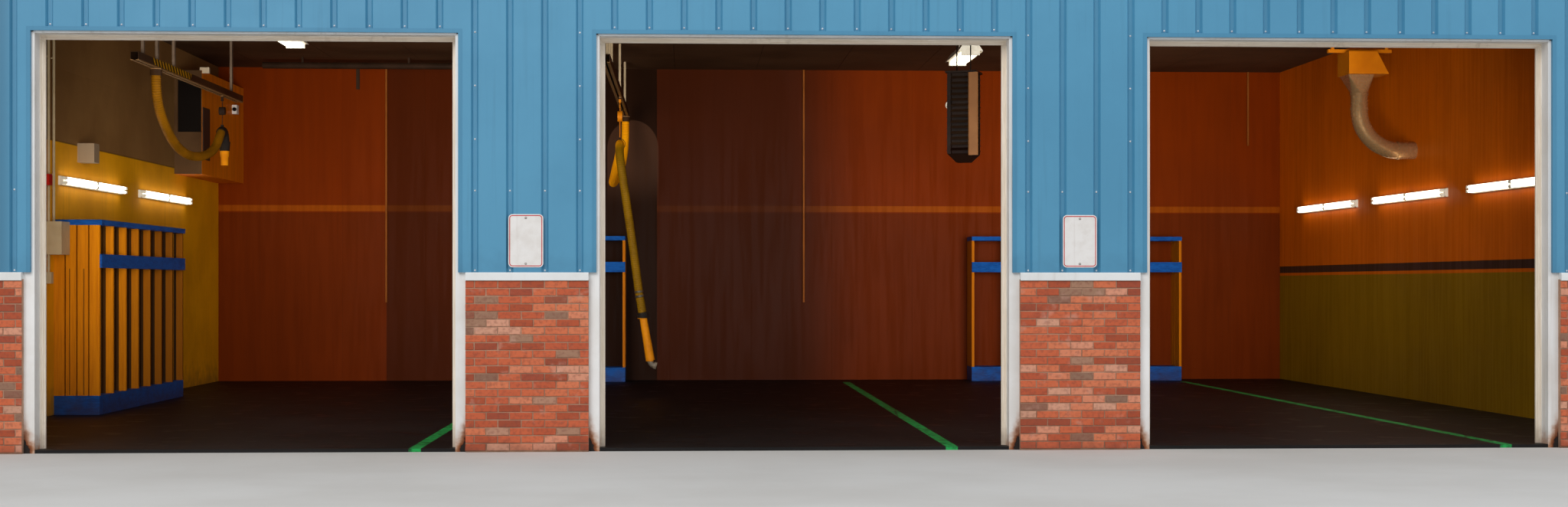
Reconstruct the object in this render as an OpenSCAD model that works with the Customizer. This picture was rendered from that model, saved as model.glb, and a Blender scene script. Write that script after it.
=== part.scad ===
// Fire station building with three doorways in a row: a steel-framed shell with a brick base,
// ribbed sheet siding, a low gable roof and the engine room's own fittings.
// Millimetres. The origin is the centre of the footprint at ground level. The doorways face -Y.

/* [Shell] */
// Distance between the siding's ribs
rib_pitch = 304.8; // [250:0.1:350]
// Rib pitches from one door centre to the next
bay_pitches = 16; // [15:1:18]
// Width of the end wall beside the outer doorways, from the steel to the siding's corner
end_pier_w = 1543; // [1300:1:2000]
// Depth of the building over the siding
building_d = 12800; // [11800:10:14000]
// Height of the walls at the eaves
eave_h = 4880; // [4600:10:5400]
// Thickness of a wall, from the siding's face to the inner lining
wall_t = 230; // [210:1:260]
// Rise of the roof on each metre of run
roof_rise = 83; // [50:1:125]
// Thickness of the floor slab above the ground
floor_t = 30; // [20:1:60]
// How far the ceiling's underside lies below the eaves
ceiling_drop = 180; // [100:10:240]
// Thickness of the ceiling boards
ceiling_t = 30; // [20:1:40]

/* [Brick base] */
// Height of the brick base
brick_h = 1510; // [1350:1:1600]
// Thickness of the brick
brick_t = 90; // [80:1:100]
// How far the brick stands out from the siding
brick_proud = 20; // [10:1:40]
// Height of the ledge flashing above the brick
ledge_h = 60; // [50:1:90]
// How far the ledge stands out from the brick
ledge_nose = 18; // [10:1:30]
// How far the ledge's lip laps down over the brick
ledge_lip = 10; // [8:1:20]

/* [Siding] */
// Thickness of the ribbed siding with its backing
siding_t = 40; // [36:1:50]
// Width of a recessed rib at the siding's face
rib_w = 66; // [50:1:80]
// Width of a recessed rib at its floor
rib_floor_w = 34; // [20:1:44]
// Depth of a recessed rib
rib_d = 30; // [20:1:32]
// Leg of the corner trims
corner_leg = 110; // [80:1:140]
// Thickness of corner trims, rake trims and the ridge cap
trim_t = 6; // [4:1:10]

/* [Doorways] */
// Clear width of a doorway between its steel jambs
door_w = 3620; // [3400:1:3700]
// Clear height of a doorway above the ground
door_h = 3645; // [3400:1:3700]
// Thickness of the steel channels round a doorway
steel_t = 10; // [8:1:14]
// Width of a steel jamb's face beside the brick
jamb_face = 93; // [85:1:130]
// Width of the steel channel's flange on the inside
jamb_back = 60; // [40:1:80]
// Steel that shows between the opening and the blue trim
steel_reveal = 27; // [20:1:35]
// Steel that shows under the blue trim at the head
head_reveal = 18; // [12:1:30]
// Width of the trim round a doorway
door_trim_w = 36; // [28:1:45]
// How far the wooden stop narrows the opening at each jamb
stop_w = 43; // [30:1:48]
// How far the wooden stop narrows the opening at the head
stop_head = 40; // [30:1:60]
// Thickness of the wooden stop along the reveal
stop_t = 45; // [36:1:50]

/* [Roof] */
// Thickness of the roof sheeting with its insulation
roof_t = 60; // [40:1:90]
// Height of the roof's ribs
roof_rib_h = 30; // [20:1:40]
// How far the roof passes the front and back walls
eave_out = 70; // [50:1:110]
// How far the roof passes the end walls
rake_out = 60; // [40:1:120]
// Depth of the trim along the gables
rake_h = 190; // [150:1:260]
// Width of the ridge cap on each side of the ridge
ridge_leg = 240; // [180:1:320]
// Width of a gutter
gutter_w = 130; // [110:1:160]
// Height of a gutter
gutter_h = 125; // [100:1:150]
// Thickness of the gutter's sheet
gutter_t = 4; // [3:1:6]
// Width of a downspout
spout_w = 100; // [80:1:120]
// Depth of a downspout
spout_d = 70; // [60:1:80]

/* [Overhead doors] */
// Thickness of the door sections
section_t = 45; // [40:1:60]
// Height of one door section
section_h = 610; // [560:1:640]
// How far the raised door's bottom edge stays above the head
door_rise = 30; // [20:1:60]
// How far a door section passes the opening at each side
door_lap = 55; // [30:1:58]
// Radius of the track's bend
track_r = 350; // [300:1:400]
// Width of the track's channel
track_w = 50; // [40:1:56]
// Depth of the track's channel
track_d = 30; // [24:1:36]

/* [Fittings] */
// Length of a wall lamp
lamp_l = 2440; // [2000:10:2500]
// Height of the wall lamps
lamp_z = 2560; // [2400:10:2700]
// Height of the hose rails' undersides above the ground
rail_z = 3930; // [3880:10:4050]
// Width of a hose rail
rail_w = 90; // [80:1:110]
// Height of a hose rail
rail_h = 95; // [80:1:120]
// Diameter of the exhaust hoses
hose_dia = 112; // [100:1:116]
// Width of one stall of the gear racks
stall_w = 520; // [480:1:560]
// Height of the gear racks
rack_h = 2150; // [2000:10:2300]
// Width of one slat of the racks' dividers
slat_w = 112; // [90:1:120]
// Gap between the slats
slat_gap = 16; // [8:1:24]
// Height of the racks' base
rack_base = 210; // [150:1:260]
// Height of the band along the racks' front
rack_band = 150; // [100:1:180]
// Length of a ceiling lamp
strip_l = 1220; // [1000:10:1400]
// Side of the hung heater over its posts
heater_w = 304; // [280:1:330]
// Height of the hung heater's louvred part
heater_h = 880; // [800:10:940]
// Thickness of the racks' boards
board_t = 38; // [20:1:50]
// Diameter of the ventilation duct
duct_dia = 210; // [180:1:230]
// Length of the boxed projection high in the left back corner
closet_l = 2570; // [2200:10:2800]
// Width of the boxed projection
closet_w = 370; // [330:1:410]
// Height of the boxed projection's underside above the ground
closet_z = 2970; // [2850:10:3100]
// Diameter of the pipe under the ceiling near the back wall
pipe_dia = 90; // [60:1:100]

/* [Hidden] */
$fn = 48;
bay = bay_pitches * rib_pitch;
building_w = 2 * bay + door_w + 2 * end_pier_w;
wall_x = building_w / 2;
wall_y = building_d / 2;
inner_x = wall_x - wall_t;
inner_y = wall_y - wall_t;
ledge_z = brick_h + ledge_h;
ceiling_h = eave_h - ceiling_drop;
slope = roof_rise / 1000;
roof_angle = atan(slope);
head_z = door_h + steel_t;
trim_in = steel_reveal;
trim_out = steel_reveal + door_trim_w;
head_trim_z = door_h + head_reveal;
head_trim_top = head_trim_z + door_trim_w;
door_xs = [-bay, 0, bay];
pier_half = bay / 2 - door_w / 2;
pier_xs = [-bay / 2, bay / 2];
brick_back = brick_t - brick_proud;
steel_front = rib_d;
track_in = door_w / 2 + jamb_back + 5;
track_sheet = 4;
bend_up = 100;
stem_dia = 12;
hinge_in = 60;
hinge_low = 18;
joint_w = 6;
door_y = wall_t + steel_t + section_t / 2 + 8;
gap = 0.3;
lamp_ys_left = [4950, 8200];
lamp_front = 2600;
lamp_back = 1130;
lamp_step = (building_d - wall_t - lamp_front - lamp_back - lamp_l) / 2;
lamp_ys_right = [lamp_front, lamp_front + lamp_step, lamp_front + 2 * lamp_step];
ceiling_lamps = [[-5650, 5675], [2400, 7175]];
strip_z = ceiling_h - 400;
tube_dia = 38;
rack_d = 4 * slat_w + 3 * slat_gap;
rack_start = 4800;
rack_right = 3200;
rack_left = -1950;
stop_back = wall_t - 15;
heater = [1985, -wall_y + 4195, ceiling_h - heater_h - 930];
heater_turn = -20;
heater_post = 40;
fan_x = 7300;
fan_y = -wall_y + 6900;
fan_z = ceiling_h - 640;
duct_z = fan_z - 930;
duct_bend = 500;
hose_1_route = [[-7100, -800, 3850], [-7100, -790, 3730], [-7100, -750, 3610], [-7100, -660, 3490],
    [-7100, -520, 3380], [-7100, -340, 3280], [-7100, -130, 3190], [-7100, 120, 3115], [-7100, 390, 3068],
    [-7100, 670, 3043], [-7100, 960, 3042], [-7100, 1250, 3058], [-7100, 1520, 3090], [-7100, 1760, 3133],
    [-7100, 1960, 3185], [-7100, 2120, 3248], [-7100, 2240, 3320], [-7100, 2320, 3380], [-7100, 2400, 3440]];
hose_2_route = [[-1940, 5450, 3850], [-1940, 5445, 3730], [-1942, 5410, 3580], [-1950, 5330, 3430],
    [-1965, 5200, 3290], [-1985, 5020, 3160], [-2010, 4790, 3050], [-2040, 4520, 2960], [-2060, 4220, 2900],
    [-2065, 3920, 2875], [-2055, 3620, 2890], [-2030, 3340, 2940], [-2000, 3100, 3020], [-1965, 2900, 3120],
    [-1940, 2740, 3210], [-1925, 2600, 3275], [-1920, 2470, 3310], [-1920, 2340, 3305], [-1918, 2210, 3253],
    [-1912, 2100, 3155], [-1895, 2030, 3022], [-1877, 2015, 2895], [-1808, 2015, 2432], [-1733, 2015, 1911],
    [-1663, 2015, 1379], [-1640, 2015, 1240], [-1617, 2015, 1101]];
rail_1_x = hose_1_route[0][0];
rail_2_x = hose_2_route[0][0];
hose_1_end = hose_1_route[len(hose_1_route) - 1];
hose_2_end = hose_2_route[len(hose_2_route) - 1];
elbow_r = 130;
elbow_c = hose_1_end + [0, 0.6 * elbow_r, -0.8 * elbow_r];
holder_2 = [-1920, 2420, 3312];
cord_dia = 10;
rail_start = -1700;
rail_1_end = 3500;
rail_2_end = min(5600, inner_y);
strut_steps = [350, 950, 1700, 4700];
strut_w = 60;
closet_x = -inner_x + closet_w;
closet_y = inner_y - closet_l;
closet_top = ceiling_h - 320;
seat_gap = 0.3;
box_y = 4450;
box_z = 1790;
box_h = 360;

// A block between two opposite corners
module block(a, b) {
    translate(a) cube(b - a);
}

// An outline of points [y, height] run along X from x0 to x1
module along_x(x0, x1) {
    translate([x0, 0, 0]) rotate([90, 0, 90]) linear_extrude(x1 - x0) children();
}

// Copies on the right-hand side what is drawn on the left
module both_sides() {
    children();
    mirror([1, 0, 0]) children();
}

// Where the centres of the ribs fall between x0 and x1
function rib_centres(x0, x1) = [for (k = [ceil((x0 + rib_w / 2) / rib_pitch - 0.5) :
    floor((x1 - rib_w / 2) / rib_pitch - 0.5)]) (k + 0.5) * rib_pitch];

// Plan of a ribbed panel from x0 to x1, its face on y = 0 and its back on y = siding_t
function siding_plan(x0, x1) = concat([[x0, 0]],
    [for (c = rib_centres(x0, x1), p = [[-rib_w / 2, 0], [-rib_floor_w / 2, rib_d], [rib_floor_w / 2, rib_d],
        [rib_w / 2, 0]]) [c + p[0], p[1]]],
    [[x1, 0], [x1, siding_t], [x0, siding_t]]);

// Height of the roof's underside at a distance y from the ridge
function roof_under(y) = eave_h + slope * (wall_y - abs(y));

// Outline of an end wall between two depths, with its top under the roof
module gable(y, z0) {
    polygon([[-y, z0], [y, z0], [y, roof_under(y)], [0, roof_under(0)], [-y, roof_under(y)]]);
}

module floor_slab() {
    color([0.42, 0.41, 0.39]) {
        block([-inner_x, -inner_y, 0], [inner_x, inner_y, floor_t]);
        for (x = door_xs)
            block([x - door_w / 2, -wall_y + steel_front, 0], [x + door_w / 2, -inner_y + 1, floor_t]);
    }
}

// The brick base beside and between the doorways
module front_wainscot() {
    half = pier_half - jamb_face;
    end_x = wall_x + brick_proud;
    color([0.62, 0.30, 0.22]) {
        for (x = pier_xs)
            block([x - half, -wall_y - brick_proud, 0], [x + half, -wall_y + brick_back, brick_h]);
        both_sides() block([-end_x, -wall_y - brick_proud, 0],
            [-bay - door_w / 2 - jamb_face, -wall_y + brick_back, brick_h]);
    }
}

module left_wainscot() {
    color([0.62, 0.30, 0.22]) block([-wall_x - brick_proud, -wall_y + brick_back, 0],
        [-wall_x + brick_back, wall_y - brick_back, brick_h]);
}

module right_wainscot() {
    mirror([1, 0, 0]) left_wainscot();
}

module back_wainscot() {
    color([0.62, 0.30, 0.22]) block([-wall_x - brick_proud, wall_y - brick_back, 0],
        [wall_x + brick_proud, wall_y + brick_proud, brick_h]);
}

// One level of the ledge: a ring round the walls, from a distance outside the siding to one inside it
module ledge_ring(out, inside, z0, z1) {
    translate([0, 0, z0]) linear_extrude(z1 - z0) difference() {
        square([2 * (wall_x + out), 2 * (wall_y + out)], center = true);
        square([2 * (wall_x - inside), 2 * (wall_y - inside)], center = true);
    }
}

// Sheet-metal ledge on the brick: a lip, an upright face and a top that steps back to the siding
module ledge_flashing() {
    face = brick_proud + ledge_nose;
    cut = door_w / 2 + jamb_face;
    color([0.88, 0.88, 0.90]) difference() {
        union() {
            ledge_ring(face, -brick_proud - gap, brick_h - ledge_lip, brick_h);
            ledge_ring(face, brick_back, brick_h, ledge_z - ledge_nose / 2);
            ledge_ring(face - ledge_nose / 2, brick_back, ledge_z - ledge_nose / 2, ledge_z);
        }
        for (x = door_xs)
            block([x - cut, -wall_y - 2 * face, brick_h - 2 * ledge_lip],
                [x + cut, -wall_y + 2 * brick_t, ledge_z + ledge_lip]);
    }
}

// Plan outline of a wall behind brick (low) or behind siding (high)
module front_pier_core(x0, x1) {
    block([x0, -wall_y + brick_back, 0], [x1, -inner_y, ledge_z]);
    block([x0, -wall_y + siding_t, ledge_z], [x1, -inner_y, head_z]);
}

module front_piers() {
    half = pier_half - steel_t;
    end_in = -bay - door_w / 2 - steel_t;
    color([0.66, 0.60, 0.50]) {
        for (x = pier_xs) front_pier_core(x - half, x + half);
        both_sides() {
            block([-wall_x + brick_back, -wall_y + brick_back, 0], [end_in, -inner_y, ledge_z]);
            block([-wall_x + siding_t, -wall_y + siding_t, ledge_z], [end_in, -inner_y, head_z]);
        }
    }
}

module front_header() {
    color([0.66, 0.60, 0.50]) along_x(-wall_x + siding_t, wall_x - siding_t)
        polygon([[-wall_y + siding_t, head_z], [-inner_y, head_z], [-inner_y, roof_under(inner_y)],
            [-wall_y + siding_t, roof_under(wall_y - siding_t)]]);
}

// An end wall: brick depth below the ledge, siding depth above it, and a gable top
module left_wall() {
    color([0.72, 0.42, 0.12]) {
        block([-wall_x + brick_back, -inner_y, 0], [-inner_x, inner_y, ledge_z]);
        along_x(-wall_x + siding_t, -inner_x) gable(inner_y, ledge_z);
    }
}

module right_wall() {
    mirror([1, 0, 0]) left_wall();
}

module back_wall() {
    color([0.50, 0.24, 0.08]) {
        block([-wall_x + brick_back, inner_y, 0], [wall_x - brick_back, wall_y - brick_back, ledge_z]);
        along_x(-wall_x + siding_t, wall_x - siding_t)
            polygon([[inner_y, ledge_z], [wall_y - siding_t, ledge_z],
                [wall_y - siding_t, roof_under(wall_y - siding_t)], [inner_y, roof_under(inner_y)]]);
    }
}

// Ribbed siding on the front wall, from x0 to x1 and from z0 to the eaves
module front_panel(x0, x1, z0) {
    translate([0, -wall_y, z0]) linear_extrude(eave_h - z0) polygon(siding_plan(x0, x1));
}

// Siding beside the doorways, rebated where it laps over the jambs' flanges
module pier_siding() {
    half = pier_half - trim_out;
    lap = door_w / 2 + jamb_face;
    color([0.29, 0.55, 0.69]) difference() {
        union() {
            for (x = pier_xs) front_panel(x - half, x + half, ledge_z);
            front_panel(-wall_x, -bay - door_w / 2 - trim_out, ledge_z);
            front_panel(bay + door_w / 2 + trim_out, wall_x, ledge_z);
        }
        for (x = door_xs)
            block([x - lap, -wall_y + steel_front, ledge_z - 1], [x + lap, -wall_y + siding_t + 1, head_z]);
    }
}

module head_siding() {
    half = door_w / 2 + trim_out;
    color([0.29, 0.55, 0.69]) for (x = door_xs) front_panel(x - half, x + half, head_trim_top);
}

module back_siding() {
    color([0.29, 0.55, 0.69]) rotate([0, 0, 180]) front_panel(-wall_x, wall_x, ledge_z);
}

// End siding is drawn tall and cut to the gable
module left_siding() {
    y = wall_y - siding_t;
    color([0.29, 0.55, 0.69]) intersection() {
        translate([-wall_x, 0, ledge_z]) rotate([0, 0, -90]) linear_extrude(roof_under(0) - ledge_z)
            polygon(siding_plan(-y, y));
        along_x(-wall_x - siding_t, -wall_x + 2 * siding_t) gable(y, ledge_z);
    }
}

module right_siding() {
    mirror([1, 0, 0]) left_siding();
}

// Plan of a jamb channel whose opening face lies on x = 0 and whose flanges run towards +x
module jamb_plan() {
    back = wall_t + steel_t;
    polygon([[0, steel_front], [jamb_face, steel_front], [jamb_face, steel_front + steel_t],
        [steel_t, steel_front + steel_t], [steel_t, wall_t], [jamb_back, wall_t], [jamb_back, back],
        [0, back]]);
}

// Steel channels round a doorway: two jambs and a head
module door_frame(x) {
    head_flange = head_trim_z + door_trim_w - steel_t;
    color([0.90, 0.90, 0.92]) translate([x, 0, 0]) {
        both_sides() translate([door_w / 2, -wall_y, 0]) linear_extrude(head_z) jamb_plan();
        along_x(-door_w / 2 - steel_t, door_w / 2 + steel_t)
            polygon([[-wall_y + steel_front, door_h], [-inner_y + steel_t, door_h],
                [-inner_y + steel_t, door_h + jamb_back], [-inner_y, door_h + jamb_back], [-inner_y, head_z],
                [-wall_y + steel_front + steel_t, head_z], [-wall_y + steel_front + steel_t, head_flange],
                [-wall_y + steel_front, head_flange]]);
    }
}

module door_frame_1() {
    door_frame(door_xs[0]);
}

module door_frame_2() {
    door_frame(door_xs[1]);
}

module door_frame_3() {
    door_frame(door_xs[2]);
}

// Profile of the wooden stop: three steps that stand w into the opening, its back edge on stop_back
module stop_plan(w) {
    front = stop_back - stop_t;
    polygon([[0, front], [-0.3 * w, front], [-0.3 * w, front + stop_t / 4], [-0.7 * w, front + stop_t / 4],
        [-0.7 * w, front + stop_t / 2], [-w, front + stop_t / 2], [-w, stop_back], [0, stop_back]]);
}

// Stepped wooden stops on the jambs and under the head of each doorway
module door_stops() {
    half = door_w / 2;
    color([0.80, 0.69, 0.52]) for (x = door_xs) translate([x, -wall_y, 0]) {
        both_sides() translate([half, 0, floor_t]) linear_extrude(door_h - floor_t) stop_plan(stop_w);
        translate([half, 0, door_h]) rotate([0, -90, 0]) linear_extrude(door_w) stop_plan(stop_head);
    }
}

// Flat trim that closes the siding's ribs round each doorway
module door_trims() {
    out = door_w / 2 + trim_out;
    in = door_w / 2 + trim_in;
    color([0.27, 0.52, 0.66]) for (x = door_xs) translate([x, 0, 0]) {
        both_sides() block([in, -wall_y - 2, ledge_z], [out, -wall_y + steel_front, head_trim_top]);
        block([-in, -wall_y - 2, head_trim_z], [in, -wall_y + steel_front, head_trim_top]);
    }
}

module corner_trims() {
    top = eave_h - gutter_h - 20;
    color([0.27, 0.52, 0.66]) for (sx = [-1, 1], sy = [-1, 1]) scale([sx, sy, 1]) {
        block([wall_x, wall_y - corner_leg, ledge_z], [wall_x + trim_t, wall_y + trim_t, top]);
        block([wall_x - corner_leg, wall_y, ledge_z], [wall_x + trim_t, wall_y + trim_t, top]);
    }
}

// Cross-section of the roof sheeting across the slope, its underside on y = 0 and its ribs up
function roof_plan(x) = concat([[-x, 0], [-x, -roof_t]],
    [for (c = rib_centres(-x, x), p = [[-rib_w / 2, 0], [-rib_floor_w / 2, roof_rib_h],
        [rib_floor_w / 2, roof_rib_h], [rib_w / 2, 0]]) [c + p[0], -roof_t - p[1]]],
    [[x, -roof_t], [x, 0]]);

module front_roof() {
    run = (wall_y + eave_out) / cos(roof_angle);
    color([0.62, 0.64, 0.65]) translate([0, -wall_y - eave_out, roof_under(wall_y + eave_out)])
        rotate([roof_angle - 90, 0, 0]) linear_extrude(run) polygon(roof_plan(wall_x + rake_out));
}

module back_roof() {
    rotate([0, 0, 180]) front_roof();
}

// Top of the roof's ribs, straight above a distance y from the ridge
function rib_top(y) = roof_under(y) + (roof_t + roof_rib_h) / cos(roof_angle);

module ridge_cap() {
    y = ridge_leg;
    color([0.55, 0.57, 0.58]) along_x(-wall_x - rake_out, wall_x + rake_out)
        polygon([[-y, rib_top(y)], [0, rib_top(0)], [y, rib_top(y)], [y, rib_top(y) + trim_t],
            [0, rib_top(0) + trim_t], [-y, rib_top(y) + trim_t]]);
}

// Band that follows the gable between two heights above the rib tops
module rake_band(low, high) {
    y = wall_y + eave_out;
    polygon([[-y, rib_top(y) + low], [0, rib_top(0) + low], [y, rib_top(y) + low], [y, rib_top(y) + high],
        [0, rib_top(0) + high], [-y, rib_top(y) + high]]);
}

module rake_trims() {
    x = wall_x + rake_out;
    color([0.27, 0.52, 0.66]) both_sides() {
        along_x(x, x + trim_t) rake_band(-rake_h, 2 * trim_t);
        along_x(x - corner_leg, x) rake_band(trim_t, 2 * trim_t);
    }
}

// Gutter outline, from the wall outwards: a back, a floor, a sloped foot and an upright front
module gutter_plan() {
    w = gutter_w;
    h = gutter_h;
    polygon([[0, 0], [w * 0.8, 0], [w, h * 0.35], [w, h], [0, h]]);
}

// The gutter's trough, open at the top behind the front's rolled lip
module trough_plan() {
    w = gutter_w;
    h = gutter_h;
    t = gutter_t;
    polygon([[t, t], [w * 0.8 - t / 2, t], [w - t, h * 0.35 + t / 2], [w - t, h - t], [w - 5 * t, h - t],
        [w - 5 * t, h + t], [t, h + t]]);
}

// A gutter on the front wall with a downspout at each end, strapped to the wall
module gutter_run() {
    z = eave_h - gutter_h - 15;
    x = wall_x + rake_out;
    spout_x = wall_x - corner_leg - spout_w;
    spout_y = brick_proud + ledge_nose + 12;
    shoe_z = 160;
    translate([0, -wall_y, z]) rotate([90, 0, -90]) difference() {
        translate([0, 0, -x]) linear_extrude(2 * x) gutter_plan();
        translate([0, 0, gutter_t - x]) linear_extrude(2 * (x - gutter_t)) trough_plan();
    }
    both_sides() {
        block([-spout_x - spout_w / 2, -wall_y - spout_y - spout_d, shoe_z],
            [-spout_x + spout_w / 2, -wall_y - spout_y, z + gutter_t / 2]);
        translate([-spout_x, -wall_y - spout_y - spout_d / 2, shoe_z]) rotate([120, 0, 0])
            translate([-spout_w / 2 - 5, -spout_d / 2 - 5, -14]) cube([spout_w + 10, spout_d + 10, 174]);
        for (h = [ledge_z + 300, eave_h * 0.62, eave_h - 600])
            block([-spout_x - spout_w / 2 - 14, -wall_y - spout_y - spout_d - 2, h],
                [-spout_x + spout_w / 2 + 14, -wall_y, h + 30]);
    }
}

module front_gutter() {
    color([0.84, 0.85, 0.86]) gutter_run();
}

module back_gutter() {
    color([0.84, 0.85, 0.86]) rotate([0, 0, 180]) gutter_run();
}

module ceiling() {
    color([0.42, 0.34, 0.24])
        block([-inner_x, -inner_y, ceiling_h], [inner_x, inner_y, ceiling_h + ceiling_t]);
}

// Height of the level run of the overhead doors and their tracks
function level_z() = door_h + bend_up + track_r;

// A raised overhead door: its bottom section still leans in the bend, the others lie flat under the ceiling
module sectional_door(x) {
    half = door_w / 2 + door_lap;
    half_t = section_t / 2;
    low = [door_y, door_h + door_rise];
    knee = [door_y + track_r * 0.8, level_z()];
    lie = knee[0] + 5 * section_h;
    lean = atan2(knee[1] - low[1], knee[0] - low[0]);
    n = [-sin(lean), cos(lean)] * half_t;
    bend = half_t * tan(lean / 2);
    stems = concat([[low[0], low[1] + hinge_low]],
        [for (k = [0 : 4]) [knee[0] + hinge_in + k * section_h, knee[1]]], [[lie - hinge_in, knee[1]]]);
    color([0.78, 0.72, 0.62]) translate([x, -wall_y, 0]) {
        difference() {
            along_x(-half, half)
                polygon([low + n, [knee[0] - bend, knee[1] + half_t], [lie, knee[1] + half_t],
                    [lie, knee[1] - half_t], [knee[0] + bend, knee[1] - half_t], low - n]);
            for (k = [1 : 4], s = [-1, 1])
                block([-half - 1, knee[0] + k * section_h - joint_w / 2, knee[1] + s * half_t - joint_w],
                    [half + 1, knee[0] + k * section_h + joint_w / 2, knee[1] + s * half_t + joint_w]);
        }
        both_sides() for (p = stems) translate([half, p[0], p[1]]) rotate([0, 90, 0]) {
            cylinder(d = stem_dia, h = track_in - half + 12);
            translate([0, 0, track_in - half + 6]) cylinder(d = track_w - 2 * track_sheet - 2 * gap, h = 14);
        }
    }
}

module sectional_door_1() {
    sectional_door(door_xs[0]);
}

module sectional_door_2() {
    sectional_door(door_xs[1]);
}

module sectional_door_3() {
    sectional_door(door_xs[2]);
}

// Course of a door track seen from the side: an upright, a quarter bend and a level run of width w
module track_course(w) {
    z = door_h + bend_up;
    level = track_r + 5 * section_h;
    translate([-w / 2, floor_t]) square([w, z - floor_t]);
    translate([track_r, z]) intersection() {
        difference() {
            circle(r = track_r + w / 2);
            circle(r = track_r - w / 2);
        }
        translate([-2 * track_r, 0]) square([2 * track_r, 2 * track_r]);
    }
    translate([track_r, z + track_r - w / 2]) square([level - track_r, w]);
}

// One door track: a channel open towards the door, held by wall brackets and ceiling hangers
module door_track() {
    difference() {
        along_x(track_in, track_in + track_d) track_course(track_w);
        along_x(track_in - 1, track_in + track_d - track_sheet) track_course(track_w - 2 * track_sheet);
    }
    for (z = [500 : 900 : door_h - 200])
        block([track_in + track_d, wall_t - door_y, z],
            [track_in + track_d + track_sheet, track_w / 2, z + 60]);
    for (y = [1500, 3100])
        block([track_in, y, level_z() + track_w / 2], [track_in + track_d, y + 40, ceiling_h]);
}

module door_tracks(x) {
    color([0.80, 0.80, 0.78]) translate([x, -wall_y + door_y, 0]) both_sides() door_track();
}

module door_tracks_1() {
    door_tracks(door_xs[0]);
}

module door_tracks_2() {
    door_tracks(door_xs[1]);
}

module door_tracks_3() {
    door_tracks(door_xs[2]);
}

// A two-tube lamp on a wall that faces +x, its near end at the origin and its length along +y
module wall_lamp() {
    tube_d = 38;
    tube_x = 70;
    rotate([-90, 0, 0]) linear_extrude(lamp_l) polygon([[0, -52], [45, -36], [45, 36], [0, 52]]);
    for (z = [-32, 32]) {
        translate([tube_x, 30, z]) rotate([-90, 0, 0]) cylinder(d = tube_d, h = lamp_l - 60);
        for (y = [10, lamp_l - 40])
            block([0, y, z - 16], [tube_x + 24, y + 30, z + 16]);
    }
}

module wall_lights() {
    color([0.95, 0.93, 0.86]) {
        for (y = lamp_ys_left) translate([-inner_x, -wall_y + y, lamp_z + 60]) wall_lamp();
        for (y = lamp_ys_right) translate([inner_x, -wall_y + y, lamp_z]) mirror([1, 0, 0]) wall_lamp();
    }
}

// Strip lamps that run from front to back, each hung from the ceiling on two rods
module ceiling_lights() {
    l = strip_l;
    color([0.95, 0.93, 0.86]) for (p = ceiling_lamps)
        translate([p[0], p[1] - wall_y, strip_z]) rotate([0, 0, 90]) {
            along_x(-l / 2, l / 2) polygon([[-150, 0], [150, 0], [90, 90], [-90, 90]]);
            for (y = [-80, 0, 80]) translate([-l / 2 + 20, y, -5 - tube_dia / 2]) rotate([0, 90, 0])
                cylinder(d = tube_dia, h = l - 40);
            for (sx = [-1, 1]) {
                block([sx * (l / 2 - 20) - 15, -110, -50], [sx * (l / 2 - 20) + 15, 110, 10]);
                translate([sx * l / 3, 0, 80]) cylinder(d = 14, h = ceiling_h - strip_z - 80);
            }
        }
}

// A hose rail along the bay: a slotted box section hung from the ceiling, with the socket of its hose
module hose_rail(end, struts, hose) {
    w = rail_w;
    h = rail_h;
    t = 6;
    half = strut_w / 2;
    translate([hose[0], rail_start, rail_z]) rotate([-90, 0, 0])
        linear_extrude(end - rail_start) difference() {
            translate([-w / 2, -h]) square([w, h]);
            translate([-w / 2 + t, -h + t]) square([w - 2 * t, h - 2 * t]);
            translate([-12, -2 * t]) square([24, 3 * t]);
        }
    for (y = struts)
        block([hose[0] - half / 2, rail_start + y - half, rail_z + h - 1],
            [hose[0] + half / 2, rail_start + y + half, ceiling_h]);
    translate(hose) cylinder(d = hose_dia + 24, h = rail_z - hose[2] + 2);
}

// A spring balancer under a rail: a drum of width w and diameter d, and a cord down to a height end_z
module balancer(x, y, drop, w, d, end_z) {
    translate([x, y, end_z]) cylinder(d = cord_dia, h = rail_z - end_z + 2);
    translate([x - w / 2, y, rail_z - drop]) rotate([0, 90, 0]) cylinder(d = d, h = w);
    block([x - 15, y - 15, rail_z - 70], [x + 15, y + 15, rail_z + 2]);
}

module exhaust_rail_1() {
    saddle = elbow_c[2] + elbow_r + hose_dia / 2 + 28;
    color([0.40, 0.32, 0.26]) {
        hose_rail(rail_1_end, strut_steps, hose_1_route[0]);
        balancer(rail_1_x, elbow_c[1], 200, 75, 105, saddle);
    }
}

// The middle bay's rail also holds its hose in a ring
module exhaust_rail_2() {
    r = hose_dia / 2;
    color([0.40, 0.32, 0.26]) {
        hose_rail(rail_2_end, concat(strut_steps, [6900]), hose_2_route[0]);
        balancer(holder_2[0], holder_2[1], 255, 60, 140, holder_2[2] + r + 12);
        translate(holder_2) rotate([90, 0, 0]) difference() {
            cylinder(r = r + 16, h = 40, center = true);
            cylinder(r = r + 9, h = 42, center = true);
        }
    }
}

// A dark elbow that carries the left hose's end, a tapered body below it and a short stub
module hose_nozzle_1() {
    r = hose_dia / 2 + 6;
    color([0.14, 0.12, 0.11]) translate(elbow_c) {
        rotate([90, 0, 90]) rotate_extrude(angle = 180 - atan2(0.8, 0.6)) translate([elbow_r, 0]) circle(r = r);
        translate([0, elbow_r, -200]) cylinder(d1 = hose_dia, d2 = 2 * r + 26, h = 200);
        translate([0, elbow_r, -310]) cylinder(d = hose_dia - 14, h = 111);
        block([-16, -25, elbow_r + r - 8], [16, 25, elbow_r + hose_dia / 2 + 28]);
    }
}

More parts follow.
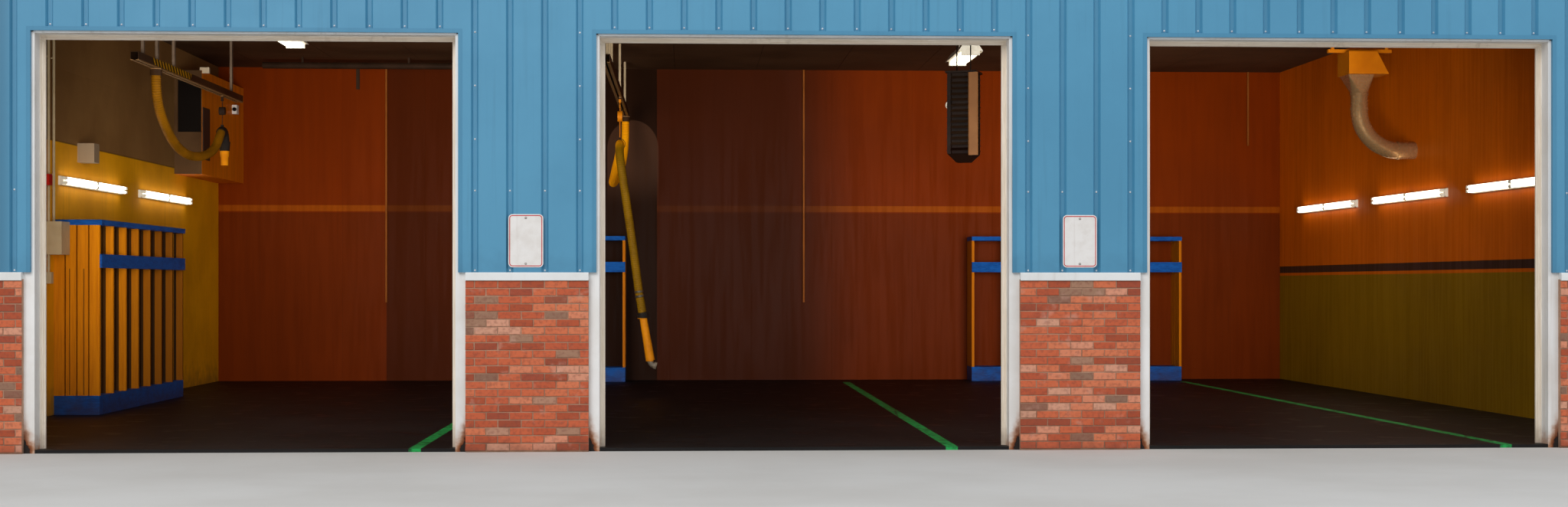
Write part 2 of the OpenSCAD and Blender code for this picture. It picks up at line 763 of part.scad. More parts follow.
// A dark collar, a rigid tube that widens downwards and a metal elbow in line with the middle hose's end
module hose_nozzle_2() {
    foot = -630;
    bend = 62;
    color([0.85, 0.48, 0.05]) translate(hose_2_end) rotate([0, -atan(1 / 6), 0]) {
        translate([0, 0, -70]) cylinder(d = hose_dia + 38, h = 70);
        translate([0, 0, foot]) cylinder(d1 = hose_dia + 6, d2 = hose_dia - 16, h = -69 - foot);
        translate([0, 0, foot - 12]) cylinder(d = 84, h = 13);
        translate([bend, 0, foot - 11]) rotate([-90, 0, 0]) rotate([0, 0, 115]) rotate_extrude(angle = 65)
            translate([bend, 0]) circle(r = 38);
        translate([bend, 0, foot - 11]) rotate([0, -65, 0]) translate([-bend, 0, -34]) cylinder(d = 92, h = 35);
    }
}

// A point at t on the smooth curve from b to c, with a and d as their neighbours
function curve_point(a, b, c, d, t) = 0.5 * (2 * b + (c - a) * t + (2 * a - 5 * b + 4 * c - d) * t * t
    + (3 * b - a - 3 * c + d) * t * t * t);

// The smooth route through all points of r, with n steps from each to the next
function smooth(r, n) = concat([for (i = [0 : len(r) - 2], j = [0 : n - 1])
    curve_point(r[max(i - 1, 0)], r[i], r[i + 1], r[min(i + 2, len(r) - 1)], j / n)], [r[len(r) - 1]]);

function unit(v) = v / norm(v);

// A tube of radius r along the points p, with a level first ring and a last one square to its route
module tube(p, r, sides) {
    last = len(p) - 1;
    dir = [for (i = [0 : last]) i == 0 ? [0, 0, -1] : unit(p[min(i + 1, last)] - p[i - 1])];
    rings = [for (i = [0 : last], k = [0 : sides - 1]) let (
        v = unit(cross(dir[i], [1, 0, 0])),
        u = unit(cross(v, dir[i])),
        a = 360 * k / sides) p[i] + r * (cos(a) * u + sin(a) * v)];
    walls = [for (i = [0 : last - 1], k = [0 : sides - 1]) let (m = (k + 1) % sides)
        [i * sides + k, (i + 1) * sides + k, (i + 1) * sides + m, i * sides + m]];
    first = [for (k = [0 : sides - 1]) k];
    final = [for (k = [sides - 1 : -1 : 0]) last * sides + k];
    polyhedron(concat(rings), concat(walls, [first], [final]), 6);
}

module hose_1() {
    color([0.95, 0.70, 0.05]) tube(smooth(hose_1_route, 2), hose_dia / 2, 12);
}

module hose_2() {
    color([0.95, 0.70, 0.05]) tube(smooth(hose_2_route, 2), hose_dia / 2, 12);
}

// One side of the heater: sloped blades between two corner posts
module heater_blades() {
    blades = 14;
    pitch = (heater_h - 40) / blades;
    reach = heater_w / 2 - 12;
    for (k = [0 : blades - 1])
        translate([0, -reach, 20 + (k + 0.5) * pitch]) rotate([30, 0, 0])
            cube([heater_w - 2 * heater_post + 6, 66, 5], center = true);
}

// A hung heater: a square tower with louvres on four sides, a hopper below and rods to the ceiling
module unit_heater() {
    half = heater_w / 2;
    core = half - 36;
    hopper = [[-half, 0], [half, 0], [half - 80, -90], [80 - half, -90]];
    color([0.62, 0.58, 0.50]) translate(heater) rotate([0, 0, heater_turn]) {
        block([-core, -core, 0], [core, core, heater_h]);
        for (a = [0 : 90 : 270]) rotate([0, 0, a]) {
            block([half - heater_post, half - heater_post, 0], [half, half, heater_h]);
            heater_blades();
        }
        block([-half - 20, -half - 20, heater_h], [half + 20, half + 20, heater_h + 20]);
        intersection() {
            along_x(-half, half) polygon(hopper);
            rotate([0, 0, 90]) along_x(-half, half) polygon(hopper);
        }
        for (s = [-1, 1]) translate([s * half / 2, 0, heater_h + 19])
            cylinder(d = 14, h = ceiling_h - heater[2] - heater_h - 19);
    }
}

// A boxed fan with a sloping end, hung from the ceiling on a cross bar and two posts
module exhaust_fan() {
    color([0.80, 0.50, 0.10]) translate([fan_x, fan_y, fan_z]) {
        translate([0, 220, 0]) rotate([90, 0, 0]) linear_extrude(440)
            polygon([[-200, 0], [300, 0], [150, 280], [-200, 280]]);
        block([-400, -30, 280], [400, 30, 320]);
        for (sx = [-1, 1]) block([sx * 340 - 20, -20, 320], [sx * 340 + 20, 20, ceiling_h - fan_z]);
    }
}

// Fan outlet: a transition from square to round, a round drop, a long bend and a level run into the end wall
module fan_duct() {
    r = duct_dia / 2;
    drop = duct_z + duct_bend;
    neck = fan_z - 220;
    color([0.72, 0.74, 0.74]) translate([fan_x, fan_y, 0]) {
        hull() {
            translate([0, 0, neck]) cylinder(r = r, h = 4);
            block([-190, -r - 60, fan_z - 4], [r + 28, r + 60, fan_z]);
        }
        translate([0, 0, drop]) cylinder(r = r, h = neck - drop);
        translate([duct_bend, 0, drop]) rotate([90, 0, 0]) rotate([0, 0, 180]) rotate_extrude(angle = 90)
            translate([duct_bend, 0]) circle(r = r);
        translate([duct_bend, 0, duct_z]) rotate([0, 90, 0]) cylinder(r = r, h = inner_x - fan_x - duct_bend);
        for (z = [drop, neck - 30]) translate([0, 0, z]) cylinder(r = r + 8, h = 30);
        translate([duct_bend - 30, 0, duct_z]) rotate([0, 90, 0]) cylinder(r = r + 8, h = 30);
    }
}

// Dividers of a rack of stalls: each is four upright slats from the base to the top shelf
module rack_dividers(stalls) {
    for (k = [0 : stalls], i = [0 : 3])
        block([i * (slat_w + slat_gap), k * stall_w, rack_base],
            [i * (slat_w + slat_gap) + slat_w, k * stall_w + board_t, rack_h - 60]);
}

// Base, top shelf and front band of a rack of stalls
module rack_boards(stalls) {
    l = stalls * stall_w + board_t;
    block([0, 0, 0], [rack_d, l, rack_base]);
    block([0, 0, rack_h - 60], [rack_d + 25, l, rack_h]);
    block([rack_d, 0, rack_h - 380 - rack_band], [rack_d + 25, l, rack_h - 380]);
}

module at_left_wall() {
    translate([-inner_x, -wall_y + rack_start, floor_t]) children();
}

module at_back_wall(x) {
    translate([x, inner_y, floor_t]) rotate([0, 0, -90]) children();
}

module left_gear_rack() {
    color([0.90, 0.55, 0.08]) at_left_wall() rack_dividers(7);
}

module back_gear_racks() {
    color([0.90, 0.55, 0.08]) {
        at_back_wall(rack_right) rack_dividers(6);
        at_back_wall(rack_left - 4 * stall_w - board_t) rack_dividers(4);
    }
}

module rack_shelves() {
    color([0.05, 0.30, 0.58]) {
        at_left_wall() rack_boards(7);
        at_back_wall(rack_right) rack_boards(6);
        at_back_wall(rack_left - 4 * stall_w - board_t) rack_boards(4);
    }
}

// A round conduit that stands off the left wall on two clips, at a distance y along it
module conduit(y, z0, z1) {
    translate([30, y, z0]) cylinder(d = 30, h = z1 - z0);
    for (z = [z0 + 0.2 * (z1 - z0), z0 + 0.7 * (z1 - z0)]) block([0, y - 10, z], [30, y + 10, z + 16]);
}

// Boxes on the left wall: a switch box with its conduits and outlet, an alarm and a speaker
module wall_boxes() {
    top = box_z + box_h;
    color([0.75, 0.70, 0.58]) translate([-inner_x, -wall_y, 0]) {
        block([0, box_y, box_z], [190, box_y + 290, top]);
        block([0, box_y + 30, box_z - 315], [70, box_y + 110, box_z - 190]);
        conduit(box_y + 70, box_z - 190, box_z);
        conduit(box_y + 70, top, ceiling_h);
        conduit(box_y + 250, top, ceiling_h);
        block([0, box_y - 60, box_z + 750], [80, box_y + 40, box_z + 870]);
        block([0, box_y + 1200, box_z + 1070], [190, box_y + 1400, box_z + 1290]);
    }
}

// A boxed projection high in the back corner: a dark panel on its end, a board, a camera and a clip
module left_closet() {
    camera_y = inner_y - 770;
    camera_z = closet_z + 970;
    color([0.80, 0.36, 0.04]) {
        block([-inner_x, closet_y, closet_z], [closet_x, inner_y, closet_top]);
        block([-inner_x + 56, closet_y - 30, closet_z + 570],
            [closet_x - 10, closet_y + 1, closet_top - 130]);
        block([closet_x - 1, closet_y + 15, closet_z + 200],
            [closet_x + 15, closet_y + 400, closet_top - 500]);
        block([closet_x - 1, camera_y, camera_z], [closet_x + 70, camera_y + 130, camera_z + 130]);
        translate([closet_x + 40, camera_y - 30, camera_z + 65]) rotate([-90, 0, 0])
            cylinder(d = 56, h = 31);
        block([closet_x - 30, closet_y + 5, closet_top - 40],
            [closet_x + 95, closet_y + 60, closet_top + 40]);
    }
}

// A pipe under the ceiling on hangers, with a bar that hangs from it, and conduits on the back wall
module back_pipes() {
    pipe_y = inner_y - 1370;
    pipe_z = ceiling_h - 120;
    color([0.16, 0.12, 0.10]) {
        translate([-7060, pipe_y, pipe_z]) rotate([0, 90, 0]) cylinder(d = pipe_dia, h = 4060);
        for (x = [-6500, -5000, -3500])
            block([x - 15, pipe_y - 15, pipe_z], [x + 15, pipe_y + 15, ceiling_h]);
        block([-5745, pipe_y - 10, pipe_z - pipe_dia / 2 - 290],
            [-5695, pipe_y + 10, pipe_z - pipe_dia / 2 - seat_gap]);
        translate([0, inner_y, 0]) rotate([0, 0, -90]) {
            conduit(-5520, 1200, ceiling_h);
            conduit(720, 1200, ceiling_h);
            conduit(7500, 3580, ceiling_h);
        }
    }
}

floor_slab();
front_wainscot();
left_wainscot();
right_wainscot();
back_wainscot();
ledge_flashing();
front_piers();
front_header();
left_wall();
right_wall();
back_wall();
pier_siding();
head_siding();
left_siding();
right_siding();
back_siding();
door_frame_1();
door_frame_2();
door_frame_3();
door_stops();
door_trims();
corner_trims();
front_roof();
back_roof();
ridge_cap();
rake_trims();
front_gutter();
back_gutter();
ceiling();
sectional_door_1();
sectional_door_2();
sectional_door_3();
door_tracks_1();
door_tracks_2();
door_tracks_3();
wall_lights();
ceiling_lights();
exhaust_rail_1();
exhaust_rail_2();
hose_1();
hose_2();
hose_nozzle_1();
hose_nozzle_2();
unit_heater();
exhaust_fan();
fan_duct();
left_gear_rack();
back_gear_racks();
rack_shelves();
wall_boxes();
left_closet();
back_pipes();
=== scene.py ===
# %% [markdown]
# # A fire station with three open doorways
# This notebook dresses the plain solid model of the building. The solids give every wall, doorway and
# fitting its true place. What is added here is what a builder would add to the bare frame: bricks laid
# one by one, screws along the siding, painted and rusted steel, lamps that glow and ribbed hoses.

# %% Load the solid model
import bpy
import numpy as np
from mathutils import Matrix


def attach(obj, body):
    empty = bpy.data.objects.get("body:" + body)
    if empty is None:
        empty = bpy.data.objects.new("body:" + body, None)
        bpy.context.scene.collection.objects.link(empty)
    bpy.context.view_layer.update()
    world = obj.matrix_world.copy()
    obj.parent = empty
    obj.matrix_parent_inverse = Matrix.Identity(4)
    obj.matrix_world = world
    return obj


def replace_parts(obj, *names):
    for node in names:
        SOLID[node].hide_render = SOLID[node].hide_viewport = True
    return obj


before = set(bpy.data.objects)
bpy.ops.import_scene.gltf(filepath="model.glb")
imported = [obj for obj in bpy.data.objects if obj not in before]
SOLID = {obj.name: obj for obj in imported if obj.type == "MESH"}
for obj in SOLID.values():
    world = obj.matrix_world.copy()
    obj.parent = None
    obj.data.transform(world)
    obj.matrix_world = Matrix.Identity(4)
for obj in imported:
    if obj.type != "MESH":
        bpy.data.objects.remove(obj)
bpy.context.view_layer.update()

# %% [markdown]
# The sizes below repeat the ones that the solids were drawn with, in metres. X runs along the front wall,
# Y goes from the front to the back and Z goes up. The front wall's siding lies on Y = -6.4.

# %% Sizes shared by many pieces
WALL_X, WALL_Y = 8.2298, 6.4
BAY, DOOR_W, DOOR_H = 4.8768, 3.62, 3.645
RIB_PITCH, RIB_DEPTH = 0.3048, 0.03
BRICK_PROUD = 0.02
LEDGE_TOP, JAMB_FACE = 1.57, 0.093
INNER_X, INNER_Y = WALL_X - 0.23, WALL_Y - 0.23
SHEET_W = 1.2192
FAR = 9.0
DOORS = np.array([-BAY, 0.0, BAY])
rng = np.random.default_rng(299)
print("doorways' middles along X:", DOORS.tolist())

# %% [markdown]
# Colours are written as a paint chip reads on a screen, from 0 to 255. A renderer works with light, so
# each number is first turned into its linear value.

# %% A colour from a paint chip
def chip(r, g, b):
    """Linear colour: each channel c, from 0 to 1, becomes ((c + 0.055) / 1.055) to the power 2.4."""
    c = np.array([r, g, b]) / 255
    return tuple(float(v) for v in np.where(c < 0.04045, c / 12.92, ((c + 0.055) / 1.055) ** 2.4)) + (1.0,)


print("a middle grey is", round(chip(128, 128, 128)[0], 3), "in light")

# %% [markdown]
# ## The camera
# The photograph was taken from in front with a slightly long lens. Its lens and place were worked
# out from the doorways, which are alike and stand one bay apart. The camera is level, so upright edges stay
# upright, and a small shift lowers the horizon in the frame.

# %% Camera
def put(name, data):
    """Puts a new object into the scene."""
    made = bpy.data.objects.new(name, data)
    bpy.context.scene.collection.objects.link(made)
    return made


lens = bpy.data.cameras.new("camera")
lens.lens, lens.sensor_width, lens.shift_y = 46.05, 36.0, 0.020
lens.clip_end = 200
camera = put("camera", lens)
camera.location = (-1.049, -24.038, 1.461)
camera.rotation_euler = (np.radians(90), 0, np.radians(-2.79))
bpy.context.scene.camera = camera
bpy.context.scene.view_settings.view_transform = "Standard"
print("camera stands", round(-camera.location.y - WALL_Y, 2), "m in front of the wall")

# %% [markdown]
# ## Meshes from arrays
# Every added piece is a set of points worked out as whole arrays, and a list of faces. One helper turns
# them into a mesh and fixes it to the building. A second one joins many small shapes into one, such as the
# screws of all four walls. Bricks are worked out all at once.

# %% Put arrays into a mesh
def piece(name, points, faces, finish, smooth=False, marks=None):
    """Makes a mesh from (n, 3) points and faces given as index rows, with one value a point for each mark."""
    mesh = bpy.data.meshes.new(name)
    rows = np.asarray(points, float).reshape(-1, 3).tolist()
    mesh.from_pydata(rows, [], [list(map(int, face)) for face in faces])
    for mark, values in (marks or {}).items():
        mesh.attributes.new(mark, "FLOAT", "POINT").data.foreach_set("value", np.asarray(values, np.float32))
    mesh.shade_smooth() if smooth else mesh.shade_flat()
    mesh.update()
    mesh.materials.append(finish)
    made = put(name, mesh)
    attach(made, "root")
    return made


def wear(finish, *names):
    """Gives a finish to solids of the model."""
    for name in names:
        for kept in SOLID[name].material_slots:
            kept.material = finish
    print(finish.name, "is on", ", ".join(names))


# %% Joined shapes, rings and boxes
def merged(parts):
    """Joins several (points, faces) pairs into one."""
    base, points, faces = 0, [], []
    for p, f in parts:
        points.append(p)
        faces += [[i + base for i in row] for row in f]
        base += len(p)
    return np.vstack(points), faces


def ring_faces(rings, sides, closed=False):
    """Four-sided faces between neighbouring rings of points, and a cap on each end if the rings are open."""
    k, m = np.meshgrid(np.arange(rings if closed else rings - 1), np.arange(sides), indexing="ij")
    n, s = (k + 1) % rings, (m + 1) % sides
    faces = np.stack([k * sides + m, k * sides + s, n * sides + s, n * sides + m], -1).reshape(-1, 4).tolist()
    if not closed:
        faces += [list(range(sides))[::-1], list(range((rings - 1) * sides, rings * sides))]
    return faces


def box(low, high):
    """Points and faces of one closed box between its low and high corner."""
    pick = np.array([[0, 0, 0], [1, 0, 0], [1, 1, 0], [0, 1, 0], [0, 0, 1], [1, 0, 1], [1, 1, 1], [0, 1, 1]])
    faces = [[0, 3, 2, 1], [4, 5, 6, 7], [0, 1, 5, 4], [1, 2, 6, 5], [2, 3, 7, 6], [3, 0, 4, 7]]
    return np.where(pick == 1, high, low).astype(float), faces


def turned(profile, sides):
    """Rings from (radius, height) rows: each point is (radius cos, radius sin, height)."""
    turn = np.linspace(0, 2 * np.pi, sides, endpoint=False)
    r, h = np.array(profile, float).T
    across, up = r[:, None], np.repeat(h[:, None], sides, 1)
    rings = np.stack([across * np.cos(turn), across * np.sin(turn), up], -1)
    return rings.reshape(-1, 3), ring_faces(len(r), sides)


print("a box has", len(box((0, 0, 0), (1, 1, 1))[1]), "faces")

# %% [markdown]
# ## Shader helpers
# A material is a small network of nodes. A wire is what comes out of a node, and the signs of arithmetic
# work on wires as they do on numbers, so that a mask reads as its formula. A net adds nodes to a tree and
# joins what feeds them.

# %% Wires and nets
class Wire:
    """What comes out of a node. Arithmetic with another wire or a number adds the node that works it out."""
    def __init__(self, net, socket):
        self.net, self.socket = net, socket

    def __rtruediv__(self, other):
        return self.net.calc("DIVIDE", other, self)


SIGNS = {"add": "ADD", "sub": "SUBTRACT", "mul": "MULTIPLY", "truediv": "DIVIDE", "gt": "GREATER_THAN",
         "lt": "LESS_THAN", "abs": "ABSOLUTE"}
for sign, how in SIGNS.items():
    setattr(Wire, "__%s__" % sign, lambda self, other=0.0, how=how: self.net.calc(how, self, other))


class Net:
    """A tree of nodes, and the coordinates at that its patterns follow, in metres."""
    def __init__(self, tree, at=None):
        self.tree, self.at = tree, at

    def feed(self, socket, value):
        """Joins a wire to an input, or sets a constant there. A constant colour is a paint chip."""
        if isinstance(value, Wire):
            self.tree.links.new(value.socket, socket)
        else:
            socket.default_value = chip(*value) if socket.type == "RGBA" else value

    def add(self, kind, inputs=None, out=0, **settings):
        """Adds a node, sets its options, feeds its inputs and returns one of its outputs."""
        made = self.tree.nodes.new("ShaderNode" + kind)
        for key, value in settings.items():
            setattr(made, key, value)
        for key, value in (inputs or {}).items():
            self.feed(made.inputs[key], value)
        return Wire(self, made.outputs[out])

    def calc(self, how, a, b=0.0, clamp=False):
        """One step of arithmetic on values."""
        return self.add("Math", {0: a, 1: b}, operation=how, use_clamp=clamp)

    def fade(self, value, start, end, low=0.0, high=1.0):
        """A value that goes smoothly from low to high while the input goes from start to end."""
        limits = {"Value": value, "From Min": start, "From Max": end, "To Min": low, "To Max": high}
        return self.add("MapRange", limits, "Result", interpolation_type="SMOOTHSTEP")

    def either(self, first, *others):
        """The largest of several masks, which is 1 where any of them is."""
        for other in others:
            first = self.calc("MAXIMUM", first, other)
        return first

    def blend(self, share, a, b):
        """A colour that goes from a to b as share goes from 0 to 1."""
        return self.add("Mix", {0: share, 6: a, 7: b}, 2, data_type="RGBA")

    def stretched(self, factors):
        """The coordinates times a factor for each axis. A small factor draws a pattern out along its axis."""
        return self.add("VectorMath", {0: self.at, 1: factors}, operation="MULTIPLY")

    def noise(self, size, detail=3.0, stretch=None, rough=0.5):
        """Cloudy noise whose patches are about size metres across, with a factor of stretch for each axis."""
        where = self.stretched(stretch) if stretch else self.at
        settings = {"Vector": where, "Scale": 1 / size, "Detail": detail, "Roughness": rough}
        return self.add("TexNoise", settings, "Fac")


print("signs that work on wires:", list(SIGNS))

# %% [markdown]
# Effects that many finishes share are node groups: cloudy patches, run marks below edges, grime that rises
# from the ground, and the grain of boards. Each is built once and given its own values in each material.

# %% Shared node groups
WHITE = (1, 1, 1, 1)


def group(name, inputs, recipe):
    """Makes a node group. inputs gives its inputs and their values, and recipe its colour and its mask."""
    tree = bpy.data.node_groups.new(name, "ShaderNodeTree")
    tree.interface.new_socket("Vector", in_out="INPUT", socket_type="NodeSocketVector")
    for label, value in inputs.items():
        kind = "NodeSocketColor" if value == WHITE else "NodeSocketFloat"
        tree.interface.new_socket(label, in_out="INPUT", socket_type=kind).default_value = value
    for label, kind in (("Colour", "NodeSocketColor"), ("Mask", "NodeSocketFloat")):
        tree.interface.new_socket(label, in_out="OUTPUT", socket_type=kind)
    way_in, way_out = tree.nodes.new("NodeGroupInput"), tree.nodes.new("NodeGroupOutput")
    net = Net(tree)
    wires = {socket.name: Wire(net, socket) for socket in way_in.outputs if socket.name}
    net.at = wires["Vector"]
    for socket, result in zip(way_out.inputs, recipe(net, wires)):
        net.feed(socket, result)
    return tree


def patches_recipe(net, i):
    """Two colours mixed by broad noise."""
    mask = net.fade(net.noise(i["Size"], 5.0, rough=0.6), 0.35, 0.68)
    return net.blend(mask, i["Base"], i["Other"]), mask


def runs_recipe(net, i):
    """Fine noise drawn out along Z, seen only where broad noise is high."""
    fine, broad = net.noise(0.05, 4.0, (1, 1, 0.035)), net.noise(0.9, 2.0, (1, 1, 0.5))
    mask = net.calc("MULTIPLY", net.fade(fine, 0.5, 0.75) * net.fade(broad, 0.4, 0.65), i["Amount"], True)
    return net.blend(mask, i["Colour"], i["Mark"]), mask


def grime_recipe(net, i):
    """Dirt that fades out Reach metres above Level, with a ragged edge."""
    above = (net.add("SeparateXYZ", {0: net.at}, "Z") - i["Level"]) / i["Reach"]
    mask = net.fade(above + net.noise(0.12, 5.0) * 1.1, 1.25, 0.35)
    mask = net.calc("MULTIPLY", mask, i["Amount"], True)
    return net.blend(mask, i["Colour"], i["Grime"]), mask


def grain_recipe(net, i):
    """Wavy lines of two sizes."""
    mask = net.fade(net.noise(1.0, 6.0, rough=0.65) * 0.7 + net.noise(0.25, 2.0) * 0.3, 0.38, 0.64)
    return net.blend(mask, i["Light"], i["Dark"]), mask


PATCHES = group("cloudy patches", {"Base": WHITE, "Other": WHITE, "Size": 1.0}, patches_recipe)
RUNS = group("run marks", {"Colour": WHITE, "Mark": WHITE, "Amount": 0.5}, runs_recipe)
GRIME = group("rising grime", {"Colour": WHITE, "Grime": WHITE, "Level": 0.0, "Reach": 0.4, "Amount": 0.6},
              grime_recipe)
GRAIN = group("board grain", {"Light": WHITE, "Dark": WHITE}, grain_recipe)
print("shared groups:", [g.name for g in (PATCHES, RUNS, GRIME, GRAIN)])

# %% [markdown]
# Each material starts the same way: a Principled shader and the object's own coordinates, which are metres
# in the building's frame. A bump turns a height mask into a shaded relief without adding faces. In the
# recipes of this notebook, m is the material in the making.

# %% A finish in the making
class Finish(Net):
    """A new material. at is a point's place in the building in metres, and x, y and z are its three parts."""
    def __init__(self, name, roughness=0.5, metallic=0.0, specular=0.5):
        self.made = bpy.data.materials.new(name)
        self.made.use_nodes = True
        super().__init__(self.made.node_tree)
        self.shader = self.tree.nodes["Principled BSDF"].inputs
        self.shader["Roughness"].default_value = roughness
        self.shader["Metallic"].default_value = metallic
        self.shader["Specular IOR Level"].default_value = specular
        self.at = self.add("TexCoord", out="Object")
        self.x, self.y, self.z = (self.add("SeparateXYZ", {0: self.at}, axis) for axis in "XYZ")

    def use(self, made_group, **inputs):
        """Places a shared group and returns its colour."""
        return self.add("Group", {"Vector": self.at, **inputs}, node_tree=made_group)

    def cloudy(self, base, other, size):
        """Two colours in soft patches."""
        return self.use(PATCHES, Base=base, Other=other, Size=size)

    def runs(self, colour, mark, amount=0.3):
        """Run marks on a colour."""
        return self.use(RUNS, Colour=colour, Mark=mark, Amount=amount)

    def grime(self, colour, grime, reach, amount, level=0.0):
        """Grime that rises from level on a colour."""
        return self.use(GRIME, Colour=colour, Grime=grime, Reach=reach, Amount=amount, Level=level)

    def grain(self, where, light, dark):
        """The colour of boards, and the mask of their grain."""
        colour = self.use(GRAIN, Vector=where, Light=light, Dark=dark)
        return colour, Wire(self, colour.socket.node.outputs["Mask"])

    def inside(self, low, high):
        """1 inside the box from low to high, and 0 outside it: the product of six sharp steps."""
        mask = (self.x > low[0]) * (self.x < high[0])
        for wire, a, b in zip((self.y, self.z), low[1:], high[1:]):
            mask = mask * (wire > a) * (wire < b)
        return mask

    def places(self, colour, spots):
        """The colour with another one inside each box of spots, whose rows are (low, high, colour)."""
        for low, high, other in spots:
            colour = self.blend(self.inside(low, high), colour, other)
        return colour

    def done(self, colour, rough=None, height=None, depth=0.0015, strength=0.4):
        """Feeds the shader its colour, its roughness and a bump depth metres high. Returns the material."""
        self.feed(self.shader["Base Color"], colour)
        if rough:
            self.feed(self.shader["Roughness"], rough)
        if height:
            bump = self.add("Bump", {"Height": height, "Distance": depth, "Strength": strength})
            self.feed(self.shader["Normal"], bump)
        return self.made


print("a finish adds to a net:", [name for name in vars(Finish) if not name.startswith("_")])

# %% [markdown]
# Most painted metal is alike: two near colours in patches, run marks, and a faint unevenness. Bare metal has
# patches only. These two recipes serve many pieces.

# %% Finishes used many times
def coat(name, base, other, size, rough=0.5, mark=(60, 44, 30), amount=0.3, bump=(1 / 30,), depth=0.0015,
         strength=0.4):
    """Paint with patches size metres across. bump is the unevenness: its size, detail and stretch."""
    m = Finish(name, rough)
    return m.done(m.runs(m.cloudy(base, other, size), mark, amount), None, m.noise(*bump), depth, strength)


def enamel(name, base, other, rough=0.28):
    """Glossy paint of plates and lamps."""
    return coat(name, base, other, 0.12, rough, (150, 120, 100), bump=(0.08,))


def metal(name, colour, rough, metallic=0.9):
    """Bare metal whose patches are 0.86 times as bright as the rest."""
    m = Finish(name, rough, metallic)
    return m.done(m.cloudy(colour, [int(c * 0.86) for c in colour], 0.05))


LAMP_WHITE = enamel("lamp_housing", (226, 220, 204), (210, 202, 184), 0.4)
print("a finish has", len(LAMP_WHITE.node_tree.nodes), "nodes")

# %% [markdown]
# ## The exhaust hoses
# Two yellow hoses hang from rails under the ceiling. Each is a fabric hose on a wire coil, so it is ribbed.
# The route is the solid's own route, through which a smooth line is drawn. A ring of points is then carried
# along that line, and its radius swells and shrinks once for each turn of the wire. The left hose sags in
# one loop up to a dark elbow, and the middle one climbs over its ring and falls to a rigid tube.

# %% Routes of the hoses
HOSE = 0.112
LEFT_YZ = [(-0.8, 3.85), (-0.79, 3.73), (-0.75, 3.61), (-0.66, 3.49), (-0.52, 3.38), (-0.34, 3.28),
           (-0.13, 3.19), (0.12, 3.115), (0.39, 3.068), (0.67, 3.043), (0.96, 3.042), (1.25, 3.058),
           (1.52, 3.09), (1.76, 3.133), (1.96, 3.185), (2.12, 3.248), (2.24, 3.32), (2.32, 3.38), (2.4, 3.44)]
ROUTE_LEFT = np.array([(-7.1, y, z) for y, z in LEFT_YZ])
ROUTE_MID = np.array([[-1.94, 5.45, 3.85], [-1.94, 5.445, 3.73], [-1.942, 5.41, 3.58], [-1.95, 5.33, 3.43],
    [-1.965, 5.2, 3.29], [-1.985, 5.02, 3.16], [-2.01, 4.79, 3.05], [-2.04, 4.52, 2.96], [-2.06, 4.22, 2.9],
    [-2.065, 3.92, 2.875], [-2.055, 3.62, 2.89], [-2.03, 3.34, 2.94], [-2.0, 3.1, 3.02], [-1.965, 2.9, 3.12],
    [-1.94, 2.74, 3.21], [-1.925, 2.6, 3.275], [-1.92, 2.47, 3.31], [-1.92, 2.34, 3.305],
    [-1.918, 2.21, 3.253], [-1.912, 2.1, 3.155], [-1.895, 2.03, 3.022], [-1.877, 2.015, 2.895],
    [-1.808, 2.015, 2.432], [-1.733, 2.015, 1.911], [-1.663, 2.015, 1.379], [-1.64, 2.015, 1.24],
    [-1.617, 2.015, 1.101]])


def through(points, steps):
    """Smooth line through the points. A share t of the way from b to c, whose neighbours are a and d, it is
    half of: 2b + (c - a)t + (2a - 5b + 4c - d)t^2 + (3b - a - 3c + d)t^3."""
    p, k = np.asarray(points, float), np.arange(len(points) - 1)
    a, b, c, d = (p[np.clip(k + o, 0, len(p) - 1)][:, None] for o in (-1, 0, 1, 2))
    t = np.linspace(0, 1, steps, endpoint=False)[None, :, None]
    line = 0.5 * (2 * b + (c - a) * t + (2 * a - 5 * b + 4 * c - d) * t**2 + (3 * b - a - 3 * c + d) * t**3)
    return np.vstack([line.reshape(-1, 3), p[-1:]])


def evenly(line, step):
    """The same line with points a step apart, measured along it."""
    run = np.concatenate([[0], np.cumsum(np.linalg.norm(np.diff(line, axis=0), axis=1))])
    at = np.linspace(0, run[-1], int(run[-1] / step) + 1)
    return np.stack([np.interp(at, run, line[:, j]) for j in range(3)], -1), at


def tube(line, radius, sides, first=(0, 0, -1)):
    """Rings round a line: each point plus its radius times (cos of an angle times one side vector + sin of
    the angle times the other). Both side vectors are square to the line."""
    way = np.gradient(line, axis=0)
    way[0] = first
    way /= np.linalg.norm(way, axis=1, keepdims=True)
    v = np.cross(way, [1.0, 0, 0])
    v /= np.linalg.norm(v, axis=1, keepdims=True)
    u = np.cross(v, way)
    turn = np.linspace(0, 2 * np.pi, sides, endpoint=False)
    r = np.broadcast_to(radius, len(line))[:, None, None]
    rings = line[:, None] + r * (np.cos(turn)[:, None] * u[:, None] + np.sin(turn)[:, None] * v[:, None])
    return rings.reshape(-1, 3), ring_faces(len(line), sides)


print("the two routes have", len(ROUTE_LEFT), "and", len(ROUTE_MID), "points")
